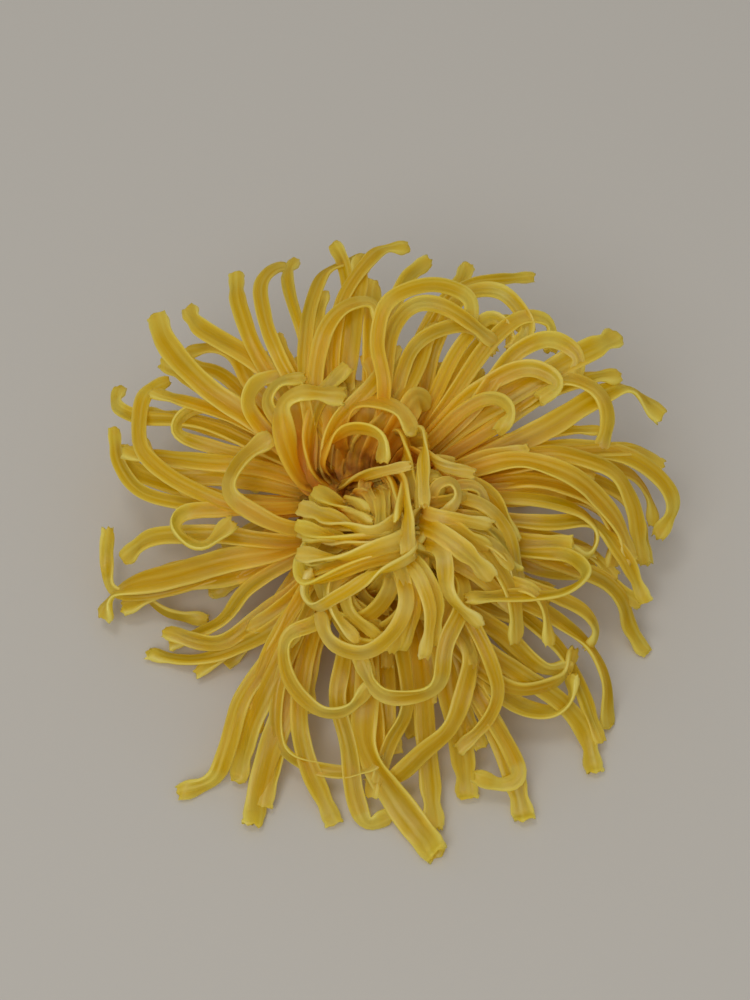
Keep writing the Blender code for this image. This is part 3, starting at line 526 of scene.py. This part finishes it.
# %% Faces and texture map of one floret
def tube_faces(count, start):
    """Four-sided faces that join a floret's rings, and one that closes each end."""
    ring, side = np.divmod(np.arange((count - 1) * SIDES), SIDES)
    beside = (side + 1) % SIDES
    quads = np.stack([ring * SIDES + side, ring * SIDES + beside, (ring + 1) * SIDES + beside,
                      (ring + 1) * SIDES + side], axis=-1)
    last = start + (count - 1) * SIDES
    ends = tuple(range(start + SIDES - 1, start - 1, -1)), tuple(range(last, last + SIDES))
    return [*map(tuple, (quads + start).tolist()), *ends]


def strip_map(number, count, rows, columns):
    """Where the corners of a floret's faces lie, on a strip with a free edge in a grid of strips."""
    low_u, low_v = (number % columns) / columns, (number // columns) / rows
    ring, side = np.divmod(np.arange((count - 1) * SIDES), SIDES)
    u = low_u + (0.04 + 0.92 * np.arange(SIDES + 1) / SIDES) / columns
    v = low_v + (0.02 + 0.96 * np.arange(count) / count) / rows
    corners = [np.stack([u[side + s], v[ring + r]], axis=-1) for r, s in ((0, 0), (0, 1), (1, 1), (1, 0))]
    ends = [np.stack([u[:SIDES], np.full(SIDES, low_v + end / rows)], axis=-1) for end in (0.008, 0.992)]
    return np.concatenate([np.stack(corners, axis=1).reshape(-1, 2), *ends])


print("faces in that floret:", len(tube_faces(len(rings), 0)))

# %% From florets to a piece
STRIP_SHAPE = 6.0  # a floret's length over the distance round it


def stand_for_bloom(name, mesh, finish):
    """Makes an object from a mesh, in the place of the plain bloom."""
    mesh.materials.append(finish)
    piece = put_in_scene(name, mesh)
    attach(piece, "root")
    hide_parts("bloom")


def grow(name, rows, ring, seed, finish, spacing=RING_SPACING, facing=(UP, SOFT_BEND)):
    """Makes the florets of a table as one piece."""
    strip_rows = max(1, round(math.sqrt(len(rows) / STRIP_SHAPE)))
    columns = math.ceil(len(rows) / strip_rows)
    points, marks, own, faces, maps = [], [], [], [], []
    for number, row in enumerate(rows):
        draw = random.Random(seed * 1000 + number)
        rings, floret_marks = floret_rings(row, ring, draw, spacing, facing)
        faces += tube_faces(len(rings), sum(map(len, points)))
        maps.append(strip_map(number, len(rings), strip_rows, columns))
        points.append(rings.reshape(-1, 3))
        marks.append(floret_marks.reshape(-1, 4))
        own.append(np.full(len(points[-1]), draw.random()))
    mesh = bpy.data.meshes.new(name)
    mesh.from_pydata(np.concatenate(points) * MM, [], faces)
    mesh.shade_smooth()
    marks = np.concatenate(marks)
    for attribute, kind, field, values in (
        ("place_on_floret", "FLOAT_VECTOR", "vector", marks[:, :3]),
        ("bend", "FLOAT", "value", marks[:, 3]),
        ("own_chance", "FLOAT", "value", np.concatenate(own)),
    ):
        made = mesh.attributes.new(attribute, kind, "POINT")
        made.data.foreach_set(field, values.astype(np.float32).ravel())
    strips = mesh.uv_layers.new(name="OFBake")
    strips.data.foreach_set("uv", np.concatenate(maps).astype(np.float32).ravel())
    stand_for_bloom(name, mesh, finish)
    print(f"{name}: {len(rows)} florets, {sum(len(face) - 2 for face in faces)} triangles")

# %% [markdown]
# ## The finish of the florets
#
# A floret is a film of dried plant cells, far thinner than a millimetre. Much of the light that falls on
# it goes through and lights the next one, which is why the shade between florets glows amber instead of
# turning grey. Subsurface scattering is meant for thick bodies such as wax, so the finish mixes in a share
# of translucent shader, made for films, and less of it at the folds, where two films lie together. The
# yellow is deepest at the root and pale at folds and the mouth; at tight bends the paleness is a painted
# highlight. Preserving leaves a waxy face: roughness 0.33, an IOR of 1.42, as of plant cell walls, and a
# light coat. Real veins are too fine to show here, so they are drawn as coarse as they need to show,
# 0.55 mm apart. Young florets, deep in the head, are more amber, partly as painted shade, and those of
# the crown run from a deeper root to a paler tip, partly as painted light, so there are three of these
# finishes.

# %% Colour from root to mouth
ROOT_COLOURED = 10.0  # mm that have the root's colour, or fewer by chance
COLOURS_CHANGE = 30.0  # mm over which the colour then changes to the last one
TIP_COLOURED = 7.0  # mm before the mouth where it starts to pale


def root_to_mouth(tree, from_root, to_tip, own, colours, tip):
    """The colour along the floret, and how far a point is on the way through the colours."""
    older = add(tree, "Math", (0, own), (1, ROOT_COLOURED), (2, from_root), operation="MULTIPLY_ADD")
    leaving = add(tree, "MapRange", ("Value", older), ("From Min", ROOT_COLOURED),
                  ("From Max", ROOT_COLOURED + COLOURS_CHANGE))
    along = ramp(add(tree, "ValToRGB", ("Fac", leaving)), list(zip((0.0, 0.2, 0.5, 1.0), colours)))
    ending = add(tree, "MapRange", ("Value", to_tip), ("From Min", TIP_COLOURED), ("From Max", 0.0),
                 ("To Max", 0.5), interpolation_type="SMOOTHSTEP")
    return add(tree, "Mix", ("Factor", ending), ("A", along), ("B", linear(tip)), data_type="RGBA"), leaving


print("last colour from", ROOT_COLOURED + COLOURS_CHANGE, "mm, or earlier")

# %% Veins, folds and painted highlights on bends
VEIN_SPACING = 0.55  # mm across the floret, drawn as coarse as it needs to show
VEIN_LENGTH = 14.0
VEIN_HEIGHT = 0.12
HALF_WIDTH = 1.8  # mm, of a usual floret


def vein_pattern(tree, across, from_root, own):
    """Noise stretched to the vein's size, and moved on by the floret's own number."""
    cross = add(tree, "Math", (0, across), (1, HALF_WIDTH / VEIN_SPACING), operation="MULTIPLY")
    run = add(tree, "Math", (0, from_root), (1, 1 / VEIN_LENGTH), operation="MULTIPLY")
    shift = add(tree, "Math", (0, own), (1, 311.0), operation="MULTIPLY")
    spot = add(tree, "CombineXYZ", ("X", cross), ("Y", run), ("Z", shift))
    return add(tree, "TexNoise", ("Vector", spot), ("Scale", 1.0), ("Detail", 3.0), ("Roughness", 0.6))


def ridge_pattern(tree, across, own):
    """The folded edges, two films thick, and one rib, off the middle by chance."""
    side = add(tree, "Math", (0, across), operation="ABSOLUTE")
    edge = add(tree, "Math", (0, side), (1, 4.0), operation="POWER")
    rib_at = add(tree, "MapRange", ("Value", own), ("To Min", -0.5), ("To Max", 0.5))
    from_rib = add(tree, "Math", (0, across), (1, rib_at), operation="SUBTRACT")
    off_rib = add(tree, "Math", (0, from_rib), operation="ABSOLUTE")
    rib = add(tree, "MapRange", ("Value", off_rib), ("From Min", 0.3), ("From Max", 0.0), ("To Max", 0.35),
              interpolation_type="SMOOTHSTEP")
    return add(tree, "Math", (0, edge), (1, rib), operation="MAXIMUM")


def fold_and_highlight_pattern(tree, ridges):
    """The ridges, and the tight bends, where a paler painted highlight stands in for light caught there."""
    bend = add(tree, "Attribute", attribute_name="bend")
    # Painted highlight: paler where the floret bends tightly, as if light caught the outside of the bend.
    bend_highlight = add(tree, "MapRange", ("Value", bend.outputs["Fac"]), ("From Min", 0.05), ("From Max", 0.2),
               ("To Max", 0.9), interpolation_type="SMOOTHSTEP")
    return add(tree, "Math", (0, ridges), (1, bend_highlight), operation="MAXIMUM")


print("veins of", VEIN_SPACING, "by", VEIN_LENGTH, "mm")

# %% Paler lines, and brown patches that are partly painted shade
FOLD_AND_HIGHLIGHT_PALE = 0.7  # how far a fold, or the painted highlight on a bend, goes towards the tip's colour
VEIN_PALE = 0.3  # the same for a vein
PATCH = 2.0  # mm, the size of a brown patch, partly brown tissue and partly painted shade


def paled(tree, colour, pattern, leaving, most, tip):
    """The colour with a pattern in the tip's colour, hardly at the root and more further out."""
    pale = add(tree, "MapRange", ("Value", leaving), ("From Max", 0.7), ("To Min", 0.06), ("To Max", most))
    share = add(tree, "Math", (0, pattern), (1, pale), operation="MULTIPLY")
    return add(tree, "Mix", ("Factor", share), ("A", colour), ("B", linear(tip)), data_type="RGBA")


def brown_tissue_and_painted_shade(tree, colour, from_root, brown):
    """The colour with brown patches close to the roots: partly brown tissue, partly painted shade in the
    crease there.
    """
    coords = add(tree, "TexCoord")
    grain = add(tree, "TexNoise", ("Vector", coords.outputs["Object"]), ("Scale", 1 / (PATCH * MM)),
                ("Detail", 2.0))
    patch = add(tree, "MapRange", ("Value", grain), ("From Min", 0.35), ("From Max", 0.65))
    near = add(tree, "MapRange", ("Value", from_root), ("From Min", 11.0), ("From Max", 6.0),
               ("To Max", 0.85), interpolation_type="SMOOTHSTEP")
    share = add(tree, "Math", (0, patch), (1, near), operation="MULTIPLY")
    return add(tree, "Mix", ("Factor", share), ("A", colour), ("B", linear(brown)), data_type="RGBA")


print("brown patches of", PATCH, "mm")

# %% Petal finish
THIN = 0.76  # share of the light that goes through the film rather than back
THICK = 0.46  # the same at a fold


def petal_finish(name, brown, colours, tip):
    """The finish of dried florets, with their colours from the root to the mouth."""
    made, tree, shader = start_finish(name)
    place = add(tree, "Attribute", attribute_name="place_on_floret")
    across, from_root, to_tip = add(tree, "SeparateXYZ", ("Vector", place.outputs["Vector"])).outputs
    own = add(tree, "Attribute", attribute_name="own_chance").outputs["Fac"]
    veins = vein_pattern(tree, across, from_root, own)
    lines = add(tree, "MapRange", ("Value", veins), ("From Min", 0.42), ("From Max", 0.68))
    ridges = ridge_pattern(tree, across, own)
    colour, leaving = root_to_mouth(tree, from_root, to_tip, own, colours, tip)
    # Paler folds, and a painted highlight on tight bends.
    colour = paled(tree, colour, fold_and_highlight_pattern(tree, ridges), leaving, FOLD_AND_HIGHLIGHT_PALE, tip)
    colour = paled(tree, colour, lines, leaving, VEIN_PALE, tip)
    # Brown patches near the roots, partly brown tissue and partly painted shade.
    colour = brown_tissue_and_painted_shade(tree, colour, from_root, brown)
    bump = add(tree, "Bump", ("Height", veins), ("Strength", 0.7), ("Distance", VEIN_HEIGHT * MM))
    # Smooth and waxy outside, dull where the florets are packed at their roots.
    polish = add(tree, "MapRange", ("Value", from_root), ("From Min", 6.0), ("From Max", 24.0),
                 ("To Min", 0.65), ("To Max", 0.33))
    # The specular level is nearly double the usual 0.5, because the mix below takes 46 to 76 % of it away.
    plug(shader, ("Base Color", colour), ("Normal", bump), ("Roughness", polish), ("IOR", 1.42),
         ("Specular IOR Level", 0.9), ("Coat Weight", 0.2), ("Coat Roughness", 0.3))
    glow = add(tree, "BsdfTranslucent", ("Color", colour), ("Normal", bump))
    thin = add(tree, "MapRange", ("Value", ridges), ("To Min", THIN), ("To Max", THICK))
    both = add(tree, "MixShader", (0, thin), (1, shader), (2, glow))
    plug(tree.nodes["Material Output"], ("Surface", both))
    return made


OUTER = ("#FFCA00", "#FFD800", "#FFE200", "#F6DA04")
# Deeper amber: partly the colour of younger florets, partly painted shade for the depths of the head.
YOUNG_WITH_PAINTED_SHADE = ("#FFBE00", "#FFCE00", "#FFDE00", "#FFE604")
# Paler towards the tip: partly the crown's own colour, partly painted light where the crown faces the lamps.
CENTRE_WITH_PAINTED_LIGHT = ("#FFBE00", "#FFD800", "#FFE40C", "#FFE612")
petal = petal_finish("preserved_petal_film", "#983C00", OUTER, "#FFF78C")
inner = petal_finish("young_petal_film_with_painted_shade", "#C07000", YOUNG_WITH_PAINTED_SHADE, "#FFF888")
crown = petal_finish("crown_petal_film_with_painted_light", "#983C00", CENTRE_WITH_PAINTED_LIGHT, "#FFF7A4")
print("finishes:", petal.name, inner.name, crown.name)

# %% [markdown]
# ## Florets between the others
#
# A head has more florets than the ones you can trace: some start beside a long floret and stop short,
# and some lie behind it. Tracing those too would take long and show little. A rule takes a floret's path,
# turns it a few degrees round the head's axis, draws it in and lowers it, so that the new one fits
# beside or behind its parent. The draw is seeded, so the head comes out the same each time.

# %% A rule for florets in between
def turned(places, angle, shrink, lower):
    """Places turned round the head's axis, drawn in towards the middle and lowered along the axis."""
    turn = np.array(Matrix.Rotation(angle, 3, Vector(HEAD_AXIS)))
    moved = []
    for number, place in enumerate(places):
        share = (number + 1) / len(places)
        from_middle = turn @ (np.array(place, float) - HEAD_MIDDLE)
        spot = HEAD_MIDDLE + shrink * from_middle - lower * share * HEAD_AXIS
        spot[2] = max(spot[2], PRESSED)
        moved.append(spot)
    return moved


def cut_short(places, share):
    """The first part of a path, as four places."""
    places = [np.array(place, float) for place in places]
    route = smooth_route([root_of(places[0], RIM_ROOTS), *places])
    return [route[round(share * (len(route) - 1) * part / 4)] for part in (1, 2, 3, 4)]


def between(rows, copies, most_turn, shrinks, lowers, seed, kept=(1, 1), widths=(0.85, 1.05)):
    """Florets beside and below the florets of a table, by a seeded rule."""
    draw = random.Random(seed)
    for width, tip_width, *places in rows:
        for _ in range(copies):
            angle = math.radians(most_turn) * draw.uniform(0.3, 1) * draw.choice((-1, 1))
            share = draw.uniform(*kept)
            own_places = cut_short(places, share) if share < 1 else places
            wider = draw.uniform(*widths)
            yield (width * wider, tip_width * wider * draw.uniform(0.8, 1.0),
                   *turned(own_places, angle, draw.uniform(*shrinks), draw.uniform(*lowers)))


# %% [markdown]
# ## Growing the outer florets
#
# Now the tables of the outer florets become pieces, each with a seed of its own. Those on the upper
# right dried with their broad sides towards you, so they lean that way.

# %% Outer florets
LEANING = np.array([0.0, -0.6, 0.8])
REGIONS = {"left": LEFT, "lower_left": LOWER_LEFT, "front": FRONT, "lower_right": LOWER_RIGHT,
           "right": RIGHT, "upper_right": UPPER_RIGHT, "top": TOP}
for seed, (region, rows) in enumerate(REGIONS.items(), 1):
    facing = (LEANING, 0.5) if rows is UPPER_RIGHT else (UP, SOFT_BEND)
    grow(region + "_florets", rows, RIM_ROOTS, seed, petal, facing=facing)

# %% [markdown]
# Eight more florets close the gaps that are left in the fan. Short ones stand between the
# florets in front and on the right. Hidden ones lie behind those on the left and at the back, and make
# the head look full from there.

# %% Gap, short and hidden florets
GAPS = [
    (3.6, 5.4, (19, 9, 29), (33, 17, 32.5), (41, 20, 33), (45, 21, 31.5)),
    (4.4, 5.6, (-15, -8, 15.5), (-26, -10, 12), (-37, -10, 8), (-46, -12, 3.5)),
    (3.2, 3.0, (-20, 13, 20), (-32, 18, 20), (-43, 22, 18)),
    (3.4, 3.2, (-24, 2, 18), (-36, 6, 17), (-45, 11, 15), (-48, 17, 13)),
    (3.0, 3.0, (12, 15, 30), (19, 25, 34), (25, 31, 36), (29, 29, 35)),
    (3.2, 3.2, (25, 3, 24), (38, 4, 24), (46, 2, 21), (50, -2, 16), (51, -6, 11)),
    (3.0, 3.0, (26, 0, 22), (38, 0, 22), (45, -3, 18), (48, -7, 13)),
    (3.2, 3.2, (-20, 18, 24), (-29, 27, 24), (-36, 31, 22)),
]
LOW = [*LOWER_LEFT, *FRONT, *LOWER_RIGHT, *RIGHT]
HIGH = [*LEFT, *UPPER_RIGHT, *TOP]
short = list(between(LOW, 1, 7, (0.97, 1.0), (1.0, 3.5), 41, kept=(0.3, 0.5)))
hidden = list(between(HIGH, 1, 3, (0.92, 0.99), (6, 12), 43, kept=(0.25, 0.42)))
grow("gap_florets", GAPS, RIM_ROOTS, 14, petal)
grow("short_florets", short, RIM_ROOTS, 11, petal, 1.1)
grow("hidden_florets", hidden, RIM_ROOTS, 15, petal, 1.1)

# %% [markdown]
# ## Growing the crown
#
# The crown's florets are slimmer than in the plain model, which has fewer of them for the same room, and
# a layer by the same rule fills up between them. Behind the crown broad florets stand up side by side in
# two rows, folded over at the top, like a wall. Both look towards you with their broad sides.

# %% Crown florets
SLIM = 0.8  # the finished crown's florets against the plain ones
WALL = [
    (6.0, 5.2, (-11.5, 1.5, 25), (-12.5, 8, 31), (-14, 13, 36.5), (-15, 15.5, 35), (-16, 18, 31)),
    (6.3, 5.4, (-9, 2, 25.5), (-9.5, 8.5, 31.5), (-10.5, 13.5, 36.5), (-11, 16, 35), (-12, 18.5, 31)),
    (6.3, 5.4, (-7, 2.5, 26), (-6.5, 8.5, 31.5), (-7, 13.5, 36.5), (-7, 16, 35), (-7.5, 18.5, 31)),
    (6.0, 5.2, (-5, 3, 26), (-3.5, 8.5, 32), (-3.5, 13, 36.5), (-3.5, 15.5, 35.5), (-3.5, 18, 32)),
    (5.8, 4.9, (-3, 3.5, 27), (-0.5, 8, 32), (0, 12, 36), (0, 14.5, 35.5), (0, 17, 32)),
    (5.4, 4.9, (-1, 4, 28), (2, 8, 33), (3.5, 11.5, 36.5), (4, 14, 36), (4.5, 16, 33)),
    (4.9, 4.5, (1.5, 4.5, 29), (4.5, 7.5, 34), (7, 10.5, 37), (8, 12.5, 36.5), (9, 14, 33)),
    (6.0, 5.2, (-10, 3.5, 24.5), (-11, 10, 30.5), (-12.5, 15, 35), (-13.5, 17.5, 33.5)),
    (6.0, 5.2, (-8, 4, 25), (-8, 10.5, 31), (-8.5, 15.5, 35), (-9, 18, 33.5)),
    (6.0, 5.2, (-5.5, 4.5, 25.5), (-5, 10.5, 31), (-5, 15.5, 35), (-5, 18, 33.5)),
    (5.8, 4.9, (-3.5, 5, 26), (-2, 10, 31.5), (-1.8, 14.5, 35), (-1.5, 17, 33.5)),
    (5.4, 4.7, (-1, 5.5, 27), (1, 10, 32.5), (2, 13.5, 35.5), (2.5, 16, 34)),
]
slim = [(SLIM * width, SLIM * tip_width, *places) for width, tip_width, *places in CROWN]
layer = list(between(slim, 4, 18, (0.78, 0.96), (0.5, 4.0), 42))
UPRIGHT = np.array([0.0, -0.75, 0.65])
# The crown's finish is paler, partly as painted light on the lit crown.
grow("crown_florets", slim, CROWN_ROOTS, 8, crown, facing=(LEANING, 0.15))
# The wall and the layer between the crown's florets take the young finish, whose deeper amber is partly
# painted shade.
grow("wall_florets", WALL, CROWN_ROOTS, 13, inner, facing=(UPRIGHT, 1.5))
grow("crown_layer_florets", layer, CROWN_ROOTS, 12, inner, 1.1, (LEANING, 0.15))

# %% [markdown]
# ## What lies under the head
#
# More florets leave the rim below the ones that show. They arch out and come down to the surface, and
# carry the head. A rule with a seeded draw is enough for them.

# %% Florets under the head
UNDER_FANS = [(135, 205, 3, 33), (215, 330, 6, 36), (-25, 30, 3, 36)]
HIND_LEGS = [(78, 36), (122, 37)]


def under_florets():
    draw = random.Random(7)
    rows = []
    for first, last, count, reach in UNDER_FANS:
        for i in range(count):
            heading = first + (last - first) * (i + draw.uniform(0.2, 0.8)) / count
            rows.append((heading, reach + draw.uniform(-5, 3)))
    rows += HIND_LEGS
    for heading, reach in rows:
        out = np.array([math.cos(math.radians(heading)), math.sin(math.radians(heading)), 0])
        leave = HEAD_MIDDLE + 12 * unit(out - out.dot(HEAD_AXIS) * HEAD_AXIS) - HEAD_AXIS
        places = [leave]
        for share, height in ((0.62, 0.55), (0.87, 0.2)):
            places.append(share * reach * out + np.array([0, 0, height * leave[2]]))
        yield 3.2, 3.8, *places, reach * out + np.array([0, 0, PRESSED])


grow("under_florets", list(under_florets()), RIM_ROOTS, 9, petal, 1.4)

# %% [markdown]
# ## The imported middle
#
# Between the florets of the crown you look down on the roots of many more. They fill the space over
# the receptacle, curl inwards, and are a deeper orange, because they are young and because the light
# there has bounced from floret to floret. They are spread with the golden angle, as a plant spreads
# them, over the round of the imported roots.

# %% Inner florets
CORE_MIDDLE = np.array([3.0, -11.0, 27.0])
CORE_RADIUS = 9.0
INNER_COUNT = 84
GOLDEN_ANGLE = math.pi * (3 - math.sqrt(5))


def inner_florets():
    draw = random.Random(31)
    across = unit(np.cross(HEAD_AXIS, np.array([1.0, 0.0, 0.0])))
    beside = np.cross(HEAD_AXIS, across)
    for i in range(INNER_COUNT):
        height = 1 - 1.25 * (i + 0.5) / INNER_COUNT
        round_it = i * GOLDEN_ANGLE
        flat = math.sqrt(max(0.0, 1 - height**2))
        out = flat * (math.cos(round_it) * across + math.sin(round_it) * beside) + height * HEAD_AXIS
        side = unit(out - out.dot(HEAD_AXIS) * HEAD_AXIS + 1e-6)
        reach = CORE_RADIUS * draw.uniform(1.0, 1.25)
        end = CORE_MIDDLE + reach * out
        swing = np.cross(HEAD_AXIS, side) * draw.uniform(-3.5, 3.5)
        low = CORE_MIDDLE - 0.35 * reach * HEAD_AXIS + 0.8 * reach * side
        middle = CORE_MIDDLE + 1.0 * reach * unit(out + 0.5 * side)
        curl = end - 2.6 * side + 1.2 * HEAD_AXIS + swing * 0.6
        yield draw.uniform(2.0, 2.9), draw.uniform(2.2, 3.0), low, middle, end + swing * 0.3, curl


grow("inner_florets", list(inner_florets()), CROWN_ROOTS, 10, inner)

# %% [markdown]
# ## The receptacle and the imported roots
#
# All the florets grow from the receptacle, a small fleshy disc that dries brown. Over it the roots of the
# crown's florets are packed so closely that you see them only as one orange body, deep between the
# florets. Both are balls with a knobbly surface, the first one flattened, made by moving the points of a
# sphere by a formula, because modelling each hidden root would cost much and show nothing.

# %% Receptacle and packed roots
KNOB = 24.0  # waves of about 2 mm on balls of this size, the width of one root
KNOB_HEIGHT = 0.08  # against the ball's radius


def knobbly_ball(name, radius, depth, middle, turn, finish):
    """A ball with knobs, flattened to a depth and turned."""
    ball = bmesh.new()
    bmesh.ops.create_icosphere(ball, subdivisions=5, radius=1.0)
    for vert in ball.verts:
        x, y, z = vert.co
        knobs = math.sin(KNOB * x + 2 * y) * math.sin(KNOB * y - 3 * z) * math.sin(KNOB * z + 1)
        pressed = Vector((x * radius, y * radius, 0.5 * depth * z)) * (1 + KNOB_HEIGHT * knobs)
        vert.co = (turn @ pressed + middle) * MM
    mesh = bpy.data.meshes.new(name)
    ball.to_mesh(mesh)
    ball.free()
    mesh.shade_smooth()
    stand_for_bloom(name, mesh, finish)
    print(f"{name}: {len(mesh.polygons)} faces")


def tissue_finish(name, stops, patch, grain, height, strength, dullness):
    """Dull dried tissue: colour patches and a raised grain, each as (size in mm, detail, roughness)."""
    made, tree, shader = start_finish(name)
    coords = add(tree, "TexCoord")
    patches, fine = [add(tree, "TexNoise", ("Vector", coords.outputs["Object"]), ("Scale", 1 / (size * MM)),
                         ("Detail", detail), ("Roughness", rough)) for size, detail, rough in (patch, grain)]
    colour = ramp(add(tree, "ValToRGB", ("Fac", patches)), stops)
    bump = add(tree, "Bump", ("Height", fine), ("Strength", strength), ("Distance", height * MM))
    plug(shader, ("Base Color", colour), ("Normal", bump), ("Roughness", dullness))
    return made


ROOT_GRAIN = (1.6, 3.0, 0.5)
BROWNS = [(0.3, "#8A560A"), (0.5, "#B4780E"), (0.7, "#DCA018")]
ORANGES = [(0.3, "#F8A800"), (0.5, "#FFBA00"), (0.7, "#FFCA08")]
dried = tissue_finish("dried_receptacle", BROWNS, ROOT_GRAIN, ROOT_GRAIN, 0.3, 0.8, 0.7)
roots = tissue_finish("packed_petal_roots", ORANGES, ROOT_GRAIN, ROOT_GRAIN, 0.3, 0.8, 0.7)
along_axis = Vector(HEAD_AXIS).to_track_quat("Z", "Y").to_matrix()
knobbly_ball("receptacle", 9.3, 9.8, Vector(HEAD_AT + HEAD_MIDDLE), along_axis, dried)
knobbly_ball("packed_roots", 7.2, 14.4, Vector(HEAD_AT + CORE_MIDDLE), Matrix.Identity(3), roots)

# %% [markdown]
# ## The calyx
#
# Below the head sits the calyx, a cup of small green bracts that dried to olive and brown, with the
# cut end of the stalk. The plain model's shape is good enough for what shows from behind, so it stays and
# gets a finish by the same function: dull, with a fine grain and browner in patches.

# %% Calyx finish
OLIVES = [(0.3, "#4A3F1B"), (0.5, "#66652B"), (0.75, "#8E8748")]
bracts = tissue_finish("dried_bract_skin", OLIVES, (3.0, 4.0, 0.6), (0.5, 3.0, 0.5), 0.15, 0.5, 0.75)
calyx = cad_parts["calyx"]
calyx.data.materials.clear()
calyx.data.materials.append(bracts)
print("calyx finish on", calyx.name)

# %% [markdown]
# ## Floor and light
#
# A plain pale floor and soft light keep the eye on the flower. A window nearly overhead, a little to the
# left, brightens the tops of the florets. A larger fill stands behind the viewer's left shoulder, so that
# light reaches down between the florets, and the world gives the rest from all sides. One strong lamp
# would be simpler, but the depths of a head like this one would stay dark.

# %% Floor
FLOOR_HALF = 1500.0
floor_mesh = bpy.data.meshes.new("floor")
corners = [(x * FLOOR_HALF * MM, y * FLOOR_HALF * MM, 0) for x, y in ((-1, -1), (1, -1), (1, 1), (-1, 1))]
floor_mesh.from_pydata(corners, [], [(0, 1, 2, 3)])
floor = put_in_scene("floor", floor_mesh)
paper, _, paper_shader = start_finish("matt_paper")
plug(paper_shader, ("Base Color", linear("#C4BEB4")), ("Roughness", 0.9), ("Specular IOR Level", 0.2))
floor_mesh.materials.append(paper)
print("floor:", 2 * FLOOR_HALF, "mm wide")

# %% Light
def soft_light(name, place, size, power):
    """A round lamp, aimed at the head."""
    data = bpy.data.lights.new(name, "AREA")
    data.shape = "DISK"
    data.size = size
    data.energy = power
    data.color = linear("#FAFCFF")[:3]
    lamp = put_in_scene(name, data)
    lamp.location = place
    lamp.rotation_euler = (Vector((0, 0, 0.02)) - lamp.location).to_track_quat("-Z", "Y").to_euler()


soft_light("window", (-0.18, 0.05, 1.12), 0.32, 1.55)
soft_light("fill", (-0.3, -0.7, 0.95), 0.8, 4.4)
world = bpy.data.worlds.new("soft_room")
bpy.context.scene.world = world
world.use_nodes = True
plug(world.node_tree.nodes["Background"], ("Color", linear("#E9E9E9")), ("Strength", 0.52))
bpy.context.scene.view_settings.view_transform = "Standard"
print("light in all:", round(sum(light.energy for light in bpy.data.lights), 2), "W and the world")
